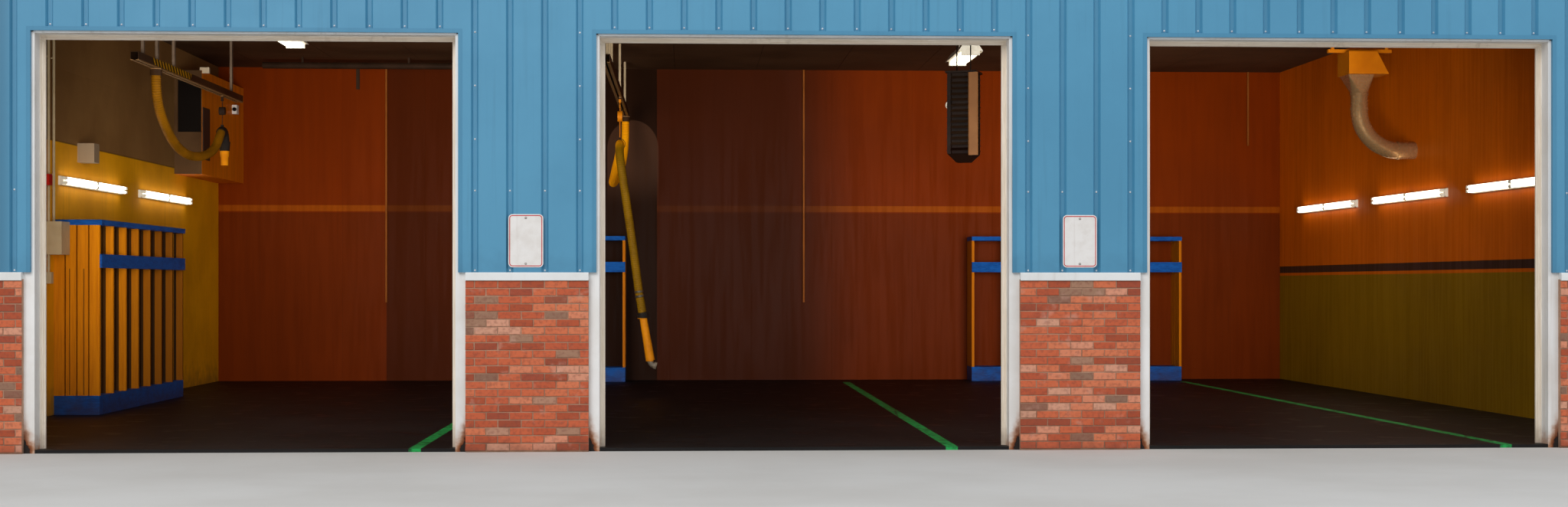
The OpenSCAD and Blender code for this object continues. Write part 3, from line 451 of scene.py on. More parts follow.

# %% [markdown]
# The hose's cloth is yellow with a faint weave, and it is darker between the ribs. The darkening follows the
# ribs through a mark that each ring carries, which is 1 on a rib and 0 between two ribs. The middle hose is
# bright orange in its loop as painted light and olive where it falls as painted shade; the left one is
# duller.

# %% Hose cloth
m = Finish("hose_cloth", 0.62)
left = m.cloudy((136, 86, 4), (108, 68, 4), 0.35)
# Painted light: the loop's bright orange. Painted shade: the fall's olive. Both are the same cloth.
loop = m.cloudy((255, 168, 8), (236, 148, 6), 0.35)
fall = m.cloudy((126, 90, 3), (100, 70, 3), 0.35)
tone = m.blend(m.x > -4.0, left, m.blend(m.fade(m.y, 2.08, 2.3), fall, loop))
rib = m.add("Attribute", out="Fac", attribute_name="rib")
# Darker between the ribs, where the rib mark is low.
tone = m.blend(m.fade(rib, 0.55, 0.0, 0.0, 0.6), tone, m.blend(0.55, tone, (50, 32, 6)))
HOSE_CLOTH = m.done(tone, None, m.noise(1 / 420, 2.0), 0.0012, 0.6)

m = Finish("band_steel", 0.35, 0.85)
scratch = m.noise(0.004, 4.0, (1, 1, 0.15))
BAND_STEEL = m.done(m.blend(m.fade(scratch, 0.35, 0.7), (150, 144, 134), (96, 88, 78)))
print("finishes of the hoses:", HOSE_CLOTH.name, BAND_STEEL.name)

# %% The two hoses
HOSE_SIDES, STEPS, RING_STEP = 18, 24, 0.0045
COIL_PITCH, COIL_RISE, BAND_RISE, BAND_PLACES = 0.027, 0.0028, 0.0025, (0.955, 0.965)


def ribbed_hose(name, route, solid):
    """A hose along a route. Its radius is the outer one less COIL_RISE times 1 - rib, and rib is half of 1
    plus the cosine of a full turn every COIL_PITCH."""
    line, at = evenly(through(route, STEPS), RING_STEP)
    rib = 0.5 + 0.5 * np.cos(2 * np.pi * at / COIL_PITCH)
    points, faces = tube(line, HOSE / 2 - COIL_RISE + COIL_RISE * rib, HOSE_SIDES)
    made = piece(name, points, faces, HOSE_CLOTH, True, {"rib": np.repeat(rib, HOSE_SIDES)})
    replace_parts(made, solid)
    print(name, "is", round(at[-1], 3), "m long with", len(faces), "faces")
    return made, line, at[-1]


def clamp(name, line, share):
    """A steel band round a hose: a few rings of the hose's route, a little wider than the hose."""
    k = int(share * (len(line) - 1))
    points, faces = tube(line[k - 3:k + 4], HOSE / 2 + BAND_RISE, HOSE_SIDES, line[k] - line[k - 1])
    return piece(name, points, faces, BAND_STEEL, True)


hose_left, line_left, long_left = ribbed_hose("ribbed_hose_left", ROUTE_LEFT, "hose_1")
hose_mid, line_mid, long_mid = ribbed_hose("ribbed_hose_middle", ROUTE_MID, "hose_2")
hose_bands = [clamp("hose_band_%d" % (k + 1), line_mid, share) for k, share in enumerate(BAND_PLACES)]
line_left[::4].tolist() + [line_left[-1].tolist()]
line_mid[::4].tolist() + [line_mid[-1].tolist()]
[SOLID["hose_nozzle_2"]] + hose_bands

# %% [markdown]
# ## Floor, background and light
# The building stands on a plain pale floor. The light is soft and even, as on an overcast day: one large
# lamp in front, one from the other side, one behind, and a pale surround. Each bay also has a lamp of its own
# inside the doorway, which throws a narrow soft beam into the room and isn't seen itself. What the camera
# sees behind the building is kept pale apart from the light, through Light Path.

# %% Stage
m = Finish("stage_floor", 0.85)
floor_mesh = bpy.data.meshes.new("stage_floor")
floor_mesh.from_pydata([(-70, -70, 0), (70, -70, 0), (70, 70, 0), (-70, 70, 0)], [], [(0, 1, 2, 3)])
floor_mesh.materials.append(m.done(m.cloudy((206, 203, 198), (196, 192, 186), 3.0)))
put("stage_floor", floor_mesh)

world = bpy.data.worlds.new("surround")
bpy.context.scene.world = world
world.use_nodes = True
world.node_tree.nodes.clear()
sky = Net(world.node_tree)
rays = (sky.add("LightPath", out="Is %s Ray" % kind) for kind in ("Camera", "Glossy", "Transmission"))
seen = sky.either(*rays)
soft = sky.add("Background", {"Color": (226, 232, 240), "Strength": 0.69})
pale = sky.add("Background", {"Color": (232, 235, 238), "Strength": 1.0})
surface = sky.tree.nodes.new("ShaderNodeOutputWorld").inputs[0]
sky.feed(surface, sky.add("MixShader", {0: seen, 1: soft, 2: pale}))
print("the stage is", floor_mesh.name, "and the world is", world.name)

# %% Lamps that light the scene
def soft_lamp(name, place, aim, size, power, colour):
    """A square area lamp that looks from its place to its aim."""
    lamp = bpy.data.lights.new(name, "AREA")
    lamp.size, lamp.energy, lamp.color = size, power, colour
    made = put(name, lamp)
    way = np.subtract(aim, place)
    made.location = place
    tilt, heading = np.arccos(-way[2] / np.linalg.norm(way)), np.arctan2(way[1], way[0])
    made.rotation_euler = (tilt, 0, heading - np.pi / 2)
    return made


soft_lamp("front_light", (-10, -26, 17), (0, -6, 2), 13, 3020, (1.0, 0.985, 0.96))
soft_lamp("side_light", (20, -16, 15), (0, 0, 2), 12, 1500, (0.95, 0.97, 1.0))
soft_lamp("back_light", (-6, 26, 16), (0, 0, 2), 12, 1900, (1.0, 0.99, 0.97))
for k, (x, power) in enumerate(zip(DOORS, (182, 58, 190))):
    fill = soft_lamp("room_light_%d" % (k + 1), (x, -5.9, 2.2), (x, 6.2, 3.0), 3.2, power, (1.0, 0.97, 0.92))
    fill.data.spread = np.radians(70)
    fill.visible_camera = fill.visible_glossy = False
print(len(bpy.data.lights), "lamps light the scene")

# %% [markdown]
# ## Brick base
# The bricks lie in running bond: each course is shifted by half a brick against the one below. A brick is
# 194 mm long and 58 mm high with 9.5 mm of mortar round it, so 22 courses reach the ledge. Each brick is a
# small template with a worn, chamfered rim, and its corners are nudged a little at random, so that no two
# are alike. The solid wall behind becomes the mortar.

# %% Lay the bricks of one wall
LENGTH, COURSE, COURSES, FOOT, JOINT, STAND = 0.2032, 0.0677, 22, 0.01, 0.0095, 0.0065
SHORTEST, ROOT, CHAMFER, RIM_U, RIM_Z = 0.045, 0.004, 0.0026, 0.0032, 0.0028
UNEVEN, NUDGE, LEAN, TILT = 0.0018, 0.0011, 0.0009, 0.0006
BRICK_FACES = [[3, 2, 1, 0], [8, 9, 10, 11]] + [[a + s, a + (s + 1) % 4, a + 4 + (s + 1) % 4, a + 4 + s]
                                                for a in (0, 4) for s in range(4)]


def lay_bricks(start_u, end_u, shift):
    """Left and right ends, and bottom and top, of all bricks on a wall that runs from start_u to end_u."""
    rows = []
    for course in range(COURSES):
        first = start_u - LENGTH * ((0.5 if course % 2 else 0.0) + shift)
        count = int((end_u - first) / LENGTH) + 2
        edges = first + LENGTH * np.arange(count) + rng.normal(0, UNEVEN, count)
        edges = edges[(edges > start_u + SHORTEST) & (edges < end_u - SHORTEST)]
        edges = np.concatenate([[start_u - JOINT / 2], edges, [end_u + JOINT / 2]])
        low, high = edges[:-1] + JOINT / 2, edges[1:] - JOINT / 2
        z = np.full(len(low), FOOT + course * COURSE)
        rows.append(np.stack([low, high, z + JOINT / 2, z + COURSE - JOINT / 2], -1))
    return np.vstack(rows)


def brick_points(spans):
    """Twelve points a brick: a back rectangle in the wall, a middle one at the rim, a smaller front one."""
    n = len(spans)
    u, z = spans[:, [0, 1, 1, 0]], spans[:, [2, 2, 3, 3]]
    inward_u, inward_z = np.array([1, -1, -1, 1]) * RIM_U, np.array([1, 1, -1, -1]) * RIM_Z
    nudge = rng.normal(0, NUDGE, (n, 3, 4, 2))
    lean = rng.normal(0, LEAN, (n, 1)) + rng.normal(0, TILT, (n, 4))
    out = np.stack([np.full((n, 4), -ROOT), STAND - CHAMFER + lean, STAND + lean], 1)
    uu = np.stack([u, u, u + inward_u], 1) + nudge[..., 0]
    zz = np.maximum(np.stack([z, z, z + inward_z], 1) + nudge[..., 1], 0.001)
    uu[:, 0], zz[:, 0] = u, z
    return np.stack([uu, out, zz], -1).reshape(-1, 3)


print("a brick is", round(LENGTH - JOINT, 4), "m long and", round(COURSE - JOINT, 4), "m high")

# %% [markdown]
# The clay is mostly red-orange. Some bricks are pale, some are grey-brown and a few are a deeper red, and
# the choice is made once for each brick and carried by its points. Within a brick, noise mottles the colour
# and roughens the face.

# %% Clay and mortar
CLAY_STOPS = [(0.0, (166, 74, 42)), (0.3, (194, 90, 54)), (0.55, (208, 104, 64)), (0.72, (216, 122, 82)),
              (0.78, (220, 144, 112)), (0.83, (214, 156, 128)), (0.86, (166, 124, 98)),
              (0.93, (138, 104, 84)), (0.95, (156, 72, 44)), (1.0, (164, 74, 48))]

m = Finish("fired_clay", 0.86)
tone = m.add("ValToRGB", {0: m.add("Attribute", out="Fac", attribute_name="batch")})
ramp = tone.socket.node.color_ramp.elements
ramp[0].color, ramp[1].color = chip(*CLAY_STOPS[0][1]), chip(*CLAY_STOPS[-1][1])
for place, colour in CLAY_STOPS[1:-1]:
    ramp.new(place).color = chip(*colour)
tone = m.blend(m.fade(m.noise(0.03, 6.0), 0.42, 0.75, 0.0, 0.5), tone, (120, 62, 48))
tone = m.blend(m.fade(m.noise(0.11, 6.0), 0.58, 0.8, 0.0, 0.5), tone, (206, 160, 140))
tone = m.grime(tone, (86, 58, 46), 0.16, 0.55)
CLAY = m.done(tone, None, m.noise(1 / 190, 4.0), 0.003, 0.8)

m = Finish("mortar", 0.95)
tone = m.grime(m.cloudy((184, 146, 120), (158, 120, 96), 0.25), (104, 74, 56), 0.3, 0.7)
wear(m.done(tone, None, m.noise(1 / 260), 0.002, 0.8),
     "front_wainscot", "left_wainscot", "right_wainscot", "back_wainscot")
print("clay has", len(CLAY_STOPS), "colours")

# %% Bricks on the four sides
FACE_X, FACE_Y, END_GAP_Y = WALL_X + BRICK_PROUD, WALL_Y + BRICK_PROUD, 0.002


def brick_wall(name, spans, origin, along, outward):
    """Turns (distance along, distance out, height) into the building's frame and makes one mesh."""
    flat = brick_points(spans)
    points = origin + flat @ np.array([along, outward, (0, 0, 1)])
    faces = (np.array(BRICK_FACES)[None] + 12 * np.arange(len(spans))[:, None, None]).reshape(-1, 4)
    flip = np.cross(along, outward)[2] > 0
    batch = np.repeat(rng.random(len(spans)), 12)
    piece(name, points, faces[:, ::-1] if flip else faces, CLAY, False, {"batch": batch})
    print(name, "has", len(spans), "bricks")


half_pier = BAY / 2 - DOOR_W / 2 - JAMB_FACE
door_edge = BAY + DOOR_W / 2 + JAMB_FACE
front_runs = [(-FACE_X - STAND, -door_edge, 0.0), (-BAY / 2 - half_pier, -BAY / 2 + half_pier, 0.12),
              (BAY / 2 - half_pier, BAY / 2 + half_pier, 0.3), (door_edge, FACE_X + STAND, 0.2)]
front_spans = np.vstack([lay_bricks(*run) for run in front_runs])
brick_wall("front_bricks", front_spans, (0, -FACE_Y, 0), (1, 0, 0), (0, -1, 0))
back_spans = lay_bricks(-FACE_X - STAND, FACE_X + STAND, 0.0)
brick_wall("back_bricks", back_spans, (0, FACE_Y, 0), (1, 0, 0), (0, 1, 0))
side_run = lay_bricks(END_GAP_Y - FACE_Y, FACE_Y - END_GAP_Y, 0.0)
brick_wall("left_bricks", side_run, (-FACE_X, 0, 0), (0, 1, 0), (-1, 0, 0))
brick_wall("right_bricks", side_run, (FACE_X, 0, 0), (0, 1, 0), (1, 0, 0))

# %% [markdown]
# ## Blue siding
# The siding is coated steel sheet with recessed ribs. Its gloss is low, and rain has left faint run marks
# below the ledges and lap joints. Towards the left corner, painted shade darkens the sheet. The trims are the
# same sheet in a slightly deeper blue.

# %% Coated sheet
def coated_sheet(name, base, other, mark, rough):
    """Blue sheet with run marks and grime in one colour, mark, which also paints shade on the left corner."""
    m = Finish(name, rough)
    tone = m.grime(m.runs(m.cloudy(base, other, 1.6), mark, 0.28), mark, 0.35, 0.35, LEDGE_TOP)
    # Painted shade: the sheet darkens towards the left corner.
    tone = m.blend(m.fade(m.x, -6.8, -6.98, 0.0, 0.85), tone, mark)
    gloss = m.fade(m.noise(0.4, 4.0), 0.3, 0.7, rough - 0.06, rough + 0.08)
    return m.done(tone, gloss, m.noise(1 / 2.2, 2.0), 0.006, 0.35)


wear(coated_sheet("siding_paint", (82, 149, 183), (75, 141, 175), (60, 116, 146), 0.42),
     "pier_siding", "head_siding", "left_siding", "right_siding", "back_siding")
wear(coated_sheet("trim_paint", (72, 138, 172), (66, 131, 165), (52, 106, 136), 0.40),
     "door_trims", "corner_trims", "rake_trims")

# %% [markdown]
# The sheets are fixed with screws that have bright washers. They sit in the recessed ribs: one row at the
# ledge, one at the girt 2.29 m up, one above each doorway, and about every 0.47 m along the lap joints.
# A screw is a small turned shape: rings of a few sides whose radius and height follow a washer and a head.

# %% Screws
SCREW = [(0.0092, -0.002), (0.0092, 0.0012), (0.0062, 0.0022), (0.0056, 0.0052), (0.0022, 0.0062)]
LEDGE_ROW, GIRT_ROW, DOOR_ROW, PLAIN_ROW, TOP_ROW = LEDGE_TOP + 0.018, 2.286, 3.72, 4.14, 4.70
LAP_ROWS = (2.736, 3.205, 3.673)
CLEAR_X, CLEAR_Z = DOOR_W / 2 + 0.065, DOOR_H + 0.06
OUTWARD = ((0, -1), (0, 1), (-1, 0), (1, 0))
FRONT, BACK, LEFT, RIGHT = (np.array([[-y, x, 0], [0, 0, 1], [x, y, 0]]) for x, y in OUTWARD)
ZINC = metal("bright_zinc", (250, 250, 250), 0.4, 0.25)


def from_middle(x):
    """Distance along X to the middle of the nearest doorway."""
    return np.min(np.abs(x - DOORS))


def screw_spots(ribs, laps, doorways=False):
    """(x, z) of the screws on a run of ribs: rows for every rib, and closer ones on the lap ribs."""
    spots = []
    for x in ribs:
        above = DOOR_ROW if doorways and from_middle(x) < DOOR_W / 2 else PLAIN_ROW
        spots += [(x, z) for z in (LEDGE_ROW, GIRT_ROW, above, TOP_ROW)]
    spots += [(x, z) for x in laps for z in LAP_ROWS]
    return [(x, z) for x, z in spots if not (doorways and from_middle(x) < CLEAR_X and z < CLEAR_Z)]


ribs_x = (np.arange(-27, 27) + 0.5) * RIB_PITCH
ribs_x = ribs_x[np.abs(ribs_x) < WALL_X - 0.03]
laps_x = ribs_x[np.rint(np.abs(ribs_x) / RIB_PITCH - 0.5) % 3 == 0]
ribs_y = (np.arange(-21, 21) + 0.5) * RIB_PITCH
ribs_y = ribs_y[np.abs(ribs_y) < WALL_Y - 0.08]
side_spots, face_x, face_y = screw_spots(ribs_y, ribs_y[::3]), WALL_X - RIB_DEPTH, WALL_Y - RIB_DEPTH
placed = [((u, -face_y, z), FRONT) for u, z in screw_spots(ribs_x, laps_x, True)]
placed += [((-u, face_y, z), BACK) for u, z in screw_spots(ribs_x, laps_x)]
placed += [((-face_x, u, z), LEFT) for u, z in side_spots] + [((face_x, u, z), RIGHT) for u, z in side_spots]
screw, faces = turned(SCREW, 8)
piece("siding_screws", *merged([(place + screw @ turn, faces) for place, turn in placed]), ZINC, True)
print(len(placed), "screws")

# %% [markdown]
# ## White steel and the ledge
# The channels round the doorways and the ledge on the brick are painted white. The paint is dull, with rain
# marks, and at the feet of the jambs the steel rusts: orange at first, then dark, and eaten through in small
# ragged spots beside the brick, whose near-black is painted shade of the channel's inside. The rust mask
# falls with height and rises towards the brick.

# %% White paint with rust at the feet
m = Finish("white_steel", 0.45)
tone = m.runs(m.cloudy((242, 241, 239), (232, 229, 224), 0.5), (176, 156, 134), 0.36)
tone = m.grime(tone, (184, 166, 144), 0.4, 0.45)
from_door = abs(m.add("Math", {0: m.x, 1: -BAY / 2, 2: BAY / 2}, operation="WRAP"))
beside = m.fade(from_door, DOOR_W / 2, DOOR_W / 2 + JAMB_FACE)
ragged = m.noise(0.045, 6.0)
low = beside * 0.24 + ragged * 0.22 - m.z
ground = m.fade(m.z, 0.52, 0.02)
crust = m.fade(low, 0.05, 0.2) * ground
hole = m.fade(low, 0.205, 0.235)
tone = m.blend(m.fade(low, -0.08, 0.16) * ground, tone, (176, 116, 66))
# The holes are rust damage; their near-black colour is painted shade of the channel's inside.
tone = m.blend(hole, m.blend(crust, tone, (120, 62, 30)), (34, 24, 20))
wear(m.done(tone, m.fade(crust, 0.0, 1.0, 0.42, 0.9), ragged * crust + hole * -1.5, 0.006, 0.9),
     "door_frame_1", "door_frame_2", "door_frame_3")

wear(coat("ledge_paint", (232, 233, 232), (220, 219, 215), 0.6, 0.5, (160, 138, 118), 0.35, (0.3,), 0.004),
     "ledge_flashing", "front_gutter", "back_gutter")

# %% [markdown]
# ## Wooden stops
# A stepped moulding of painted wood closes the gap between each steel jamb and the door behind it. The paint
# is a weathered cream, and thin cracks follow the length of the wood: along Z on the jambs and along X at
# the head. Both directions of grain are mixed by height.

# %% Weathered moulding
m = Finish("stop_wood", 0.7)
head = m.fade(m.z, DOOR_H - 0.062, DOOR_H - 0.058)
ways = {0: head, 4: m.stretched((60, 60, 1.6)), 5: m.stretched((1.6, 60, 60))}
wood, cracks = m.grain(m.add("Mix", ways, 1, data_type="VECTOR"), (250, 238, 222), (234, 218, 196))
tone = m.grime(m.runs(wood, (160, 134, 104)), (140, 110, 78), 0.4, 0.6)
wear(m.done(tone, None, cracks, strength=0.7), "door_stops")

# %% [markdown]
# ## Bare sign plates
# Two plates hang beside the middle doorway. They are left bare: a white enamelled plate with round corners,
# a thin red line near its edge and two bolts. The outline is a rectangle whose corners are quarter circles,
# and the red line is the same outline drawn a little smaller, as a band that stands just proud.

# %% Sign plates
PLATE_W, PLATE_H, CORNER, EDGE, BAND, LIP = 0.305, 0.465, 0.036, 0.009, 0.0075, 0.0012
BACK_AT, FACE_AT, BAND_LOW, BAND_HIGH = 0.002, 0.0045, 0.004, 0.0051
SIGN_WHITE = enamel("sign_enamel", (236, 232, 228), (226, 220, 214))
SIGN_RED = enamel("sign_red", (202, 44, 54), (186, 38, 48))
SIGN_BOLT = metal("sign_bolts", (186, 178, 172), 0.4, 0.4)
BOLT = [(0.011, -0.001), (0.011, 0.0015), (0.0075, 0.002), (0.0068, 0.0058), (0.003, 0.0068)]
BOLT_UP, BOLT_OUT, STEPS_ROUND = 0.2, -0.0045, 8


def outline(inset, level):
    """The plate's outline, inset from its edge, at a level: a corner's centre + radius times (cos, sin)."""
    width, height, radius = PLATE_W - 2 * inset, PLATE_H - 2 * inset, CORNER - inset
    turn = np.concatenate([np.linspace(q * np.pi / 2, (q + 1) * np.pi / 2, STEPS_ROUND) for q in range(4)])
    side = np.repeat([[1, 1], [-1, 1], [-1, -1], [1, -1]], STEPS_ROUND, 0)
    centres = side * [width / 2 - radius, height / 2 - radius]
    rim = centres + radius * np.stack([np.cos(turn), np.sin(turn)], -1)
    return np.c_[rim, np.full(len(rim), level)]


plate = np.vstack([outline(0, BACK_AT), outline(0, FACE_AT - LIP), outline(LIP, FACE_AT)])
outer, inner = EDGE, EDGE + BAND
band = np.vstack([outline(inset, level) for inset, level in (
    (outer, BAND_LOW), (outer, BAND_HIGH), (inner, BAND_HIGH), (inner, BAND_LOW))])
bolt, bolt_faces = turned(BOLT, 12)
for name, x in (("left", -2.451), ("right", 2.437)):
    base = np.array([x, -WALL_Y, 1.847])
    piece("sign_plate_" + name, plate @ FRONT + base, ring_faces(3, len(plate) // 3), SIGN_WHITE)
    piece("sign_border_" + name, band @ FRONT + base, ring_faces(4, len(band) // 4, True), SIGN_RED)
    bolts = [(bolt @ FRONT + base + [0, BOLT_OUT, up], bolt_faces) for up in (BOLT_UP, -BOLT_UP)]
    piece("sign_bolts_" + name, *merged(bolts), SIGN_BOLT, True)
print("two bare plates,", PLATE_W, "by", PLATE_H, "m")

# %% [markdown]
# ## Inside walls
# The side walls are boarded and painted, and the back wall is lined with stained plywood. The left wall is
# ochre below a line 3.05 m up and grey-brown above it. The other walls are orange-brown: a plain satin
# stain whose tone drifts softly from sheet to sheet, with faint upright streaks and a hairline joint at
# every sheet. The fields are masks on height, so one material covers a whole wall.

# %% Painted left wall
m = Finish("left_lining", 0.7)
low = m.cloudy((234, 160, 3), (216, 146, 2), 0.9)
high = m.cloudy((138, 100, 56), (122, 86, 46), 1.1)
tone = m.blend(m.fade(m.z, 3.05, 3.056), low, high)
tone = m.blend(m.fade(abs(m.z - 3.053), 0.012, 0.004, 0.0, 0.7), tone, (70, 46, 16))
# Painted shade behind the gear rack: the stalls between its dividers are darkened.
tone = m.blend(m.inside((-FAR, -1.6, 0.2), (-7, 2.08, 1.66)) * 0.9, tone, (30, 20, 8))
tone = m.grime(m.runs(tone, (120, 84, 20), 0.22), (70, 52, 34), 0.6, 0.6)
wall = m.add("CombineXYZ", {0: m.y, 1: m.z})
joint = m.add("TexBrick", {"Vector": wall, "Scale": 1.0, "Mortar Size": 0.005, "Mortar Smooth": 0.8,
                           "Brick Width": 0.4064, "Row Height": 0.2032}, "Fac")
wear(m.done(tone, None, joint * -1.0, 0.002, 0.35), "left_wall")

# %% [markdown]
# A stained wall is made from level fields of stain. On the back wall painted shade darkens some sheets, and
# on one of them a paler arched patch is painted. The patch is where the squares of two shares add to less
# than 1: the share of 0.39 m to either side of its middle, and the share of 0.44 m above the foot of its
# arch.

# %% Stained plywood
def plywood(name, light, dark, fields=(), shaded_rows=()):
    """Stained sheets. fields are (bottom, top, light, dark). Rows of the last argument are (start, full, end,
    gone, share, colour): sheets along X darkened by painted shade, with soft or sharp ends."""
    m = Finish(name, 0.42, 0.0, 0.22)
    upright = m.stretched((5, 5, 0.3))
    tone, streaks = m.grain(upright, light, dark)
    for bottom, top, pale, deep in fields:
        band = m.fade(m.z, bottom - 0.004, bottom + 0.004) * m.fade(m.z, top + 0.004, top - 0.004)
        tone = m.blend(band, tone, m.grain(upright, pale, deep)[0])
    run = m.x + m.y
    number = m.calc("FLOOR", run / SHEET_W)
    shade = m.add("TexWhiteNoise", {"W": number}, "Value", noise_dimensions="1D")
    tone = m.blend(m.fade(shade, 0.0, 1.0, 0.0, 0.12), tone, (70, 26, 2))
    # Painted shade darkens these sheets along X.
    for first, full, end, gone, share, colour in shaded_rows:
        tone = m.blend(m.fade(m.x, first, full) * m.fade(m.x, gone, end) * share, tone, colour)
    if shaded_rows:
        # A paler arched patch is painted over the shade.
        across, rise = (m.x + 1.85) / 0.39, m.calc("MAXIMUM", m.z - 3.5) / 0.44
        arch_patch = m.fade(across * across + rise * rise, 1.0, 0.93) * m.fade(m.z, 2.6, 3.3)
        tone = m.blend(arch_patch * 0.7, tone, (78, 50, 34))
    tone = m.cloudy(tone, m.blend(0.16, tone, (40, 16, 4)), 1.7)
    joint = m.fade(m.calc("PINGPONG", run, SHEET_W / 2), 0.0, 0.005)
    tone = m.blend(m.fade(joint, 1.0, 0.0, 0.0, 0.3), tone, (50, 20, 4))
    return m.done(tone, m.fade(streaks, 0.0, 1.0, 0.38, 0.5), joint, 0.002, 0.5)


BACK_FIELDS = [(0.0, 2.54, (101, 36, 3), (94, 32, 2)), (2.56, 2.65, (150, 70, 6), (136, 60, 4))]
# Sheets along X darkened by painted shade.
SHADED_SHEETS = [(-5.53, -5.51, -3.0, -2.8, 0.72, (46, 18, 5)), (-3.0, -2.8, -1.49, -1.47, 1.0, (30, 13, 4)),
              (-1.49, -1.47, 0.4, 1.9, 0.86, (46, 18, 5))]
RIGHT_FIELDS = [(0.0, 1.6, (150, 112, 5), (138, 102, 4)), (1.64, 1.74, (64, 48, 36), (54, 40, 30))]
wear(plywood("back_plywood", (117, 41, 1), (110, 37, 1), BACK_FIELDS, SHADED_SHEETS), "back_wall")
wear(plywood("right_plywood", (228, 108, 2), (214, 99, 1), RIGHT_FIELDS), "right_wall")
wear(plywood("front_plywood", (150, 112, 70), (126, 92, 56)), "front_piers", "front_header")

# %% [markdown]
# The boxed projection high in the back corner carries several things on one solid, so its material picks a
# colour by place: orange boards on the side, brown on the end with a black panel, a grey board at the edge,
# a white camera with a dark lens, and a cream clip on top.

# %% Boxed projection
m = Finish("closet_paint", 0.6)
boards = m.grain(m.stretched((9, 9, 0.4)), (226, 124, 8), (204, 106, 6))[0]
tone = m.places(boards, [
    ((-FAR, -FAR, 0), (-7.631, 3.605, FAR), m.cloudy((88, 62, 38), (74, 50, 30), 0.5)),
    ((-FAR, -FAR, 3.52), (-7.63, 3.5985, 4.27), (16, 12, 10)),
    ((-7.6285, 3.61, 3.16), (-7.61, 4.01, 3.885), (64, 50, 40)),
    ((-7.6285, 5.39, 3.9), (FAR, 5.54, 4.08), (214, 206, 196)),
    ((-7.625, 5.3, 3.9), (FAR, 5.3985, 4.08), (18, 14, 14)),
    ((-7.6285, 3.5, 4.335), (FAR, 3.7, FAR), (222, 200, 168)),
    ((-FAR, 3.5, 4.381), (FAR, 3.7, FAR), (222, 200, 168))])
wear(m.done(tone, None, m.noise(1 / 22, 4.0)), "left_closet")

# %% [markdown]
# The ceiling is plain boarding gone dark brown, and the floor is worn concrete with damp, slightly shiny
# stains and painted green lines that run from the doorways towards the back. The concrete is dark, and its
# colour is made darker still as painted shade.

# %% Ceiling and floor
GREEN_LINES = (-3.42, 1.30, 6.3)

m = Finish("ceiling_boards", 0.85)
across, along = (m.calc("PINGPONG", wire, width) for wire, width in ((m.x, SHEET_W / 2), (m.y, SHEET_W)))
joint = m.fade(across, 0.0, 0.006) * m.fade(along, 0.0, 0.006)
tone = m.blend(joint, (40, 26, 16), m.cloudy((84, 58, 38), (66, 44, 28), 1.3))
wear(m.done(tone, None, joint, 0.004, 0.6), "ceiling")

m = Finish("worn_concrete", 0.35, 0.0, 0.2)
stain = m.fade(m.noise(0.35, 6.0), 0.52, 0.72)
# The concrete's dark base colours are partly its own and partly painted shade.
tone = m.blend(stain * 0.6, m.cloudy((25, 21, 20), (17, 14, 13), 1.1), (12, 10, 10))
line = m.either(*(m.fade(abs(m.x - x), 0.056, 0.050) for x in GREEN_LINES))
line = line * m.fade(m.noise(0.06, 6.0), 0.7, 0.45) * m.fade(m.y, 5.4, 5.3)
tone = m.blend(line, tone, (36, 160, 78))
crack = m.add("TexVoronoi", {"Vector": m.at, "Scale": 0.45}, "Distance", feature="DISTANCE_TO_EDGE")
tone = m.blend(m.fade(crack, 0.006, 0.0, 0.0, 0.7), tone, (28, 22, 20))
wear(m.done(tone, m.fade(stain, 0.0, 1.0, 0.56, 0.44), m.noise(1 / 60, 5.0), 0.002, 0.2), "floor_slab")

# %% [markdown]
# ## Roof, overhead doors and tracks
# The roof is ribbed galvanised sheet with a ridge cap. It is seen only from above and from the sides. The
# raised doors are insulated steel sections in a dull almond colour, embossed with a fine wood grain. The
# tracks are galvanised steel, with the cloudy crystals that zinc leaves.

# %% Roof sheet, door sections and galvanised steel
m = Finish("roof_sheet", 0.38, 0.35)
down = m.fade(m.noise(0.12, 4.0, (1, 0.05, 0.05)), 0.5, 0.75, 0.0, 0.3)
tone = m.blend(down, m.cloudy((176, 180, 182), (158, 162, 163), 1.2), (120, 118, 112))
wear(m.done(tone, None, m.noise(0.5), 0.004, 0.35), "front_roof", "back_roof", "ridge_cap")


def galvanised(name, base, other, rough, metallic=0.75, dull=0.3):
    """Zinc crystals, each between base and other in colour. dull is how dark its dull patches are."""
    m = Finish(name, rough, metallic)
    flake = m.add("TexVoronoi", {"Vector": m.at, "Scale": 55.0}, "Color")
    shine = m.add("SeparateColor", {0: flake})
    tone = m.blend(shine, base, other)
    tone = m.cloudy(tone, m.blend(dull, tone, (70, 62, 50)), 0.4)
    return m.done(tone, m.fade(shine, 0.0, 1.0, rough - 0.06, rough + 0.1))


wear(coat("door_sections", (198, 186, 164), (184, 170, 146), 0.8, 0.5, (140, 122, 98), 0.25,
          (0.02, 4.0, (0.05, 1, 1)), 0.002, 0.5), "sectional_door_1", "sectional_door_2", "sectional_door_3")
wear(galvanised("galvanised_sheet", (176, 170, 158), (142, 134, 120), 0.36),
     "door_tracks_1", "door_tracks_2", "door_tracks_3")
wear(galvanised("duct_sheet", (188, 146, 100), (170, 130, 86), 0.28, 0.7, 0.1), "fan_duct")

# %% [markdown]
# The hose rails are dark brown channels with a pale worn lower flange. Their struts are grey on the left and
# cream in the middle. The left rail has a hazard hatch on its side: yellow and black slanted stripes, which
# follow the sum of depth and height. The balancers under the rails are small drums, dark on the left and
# orange in the middle.

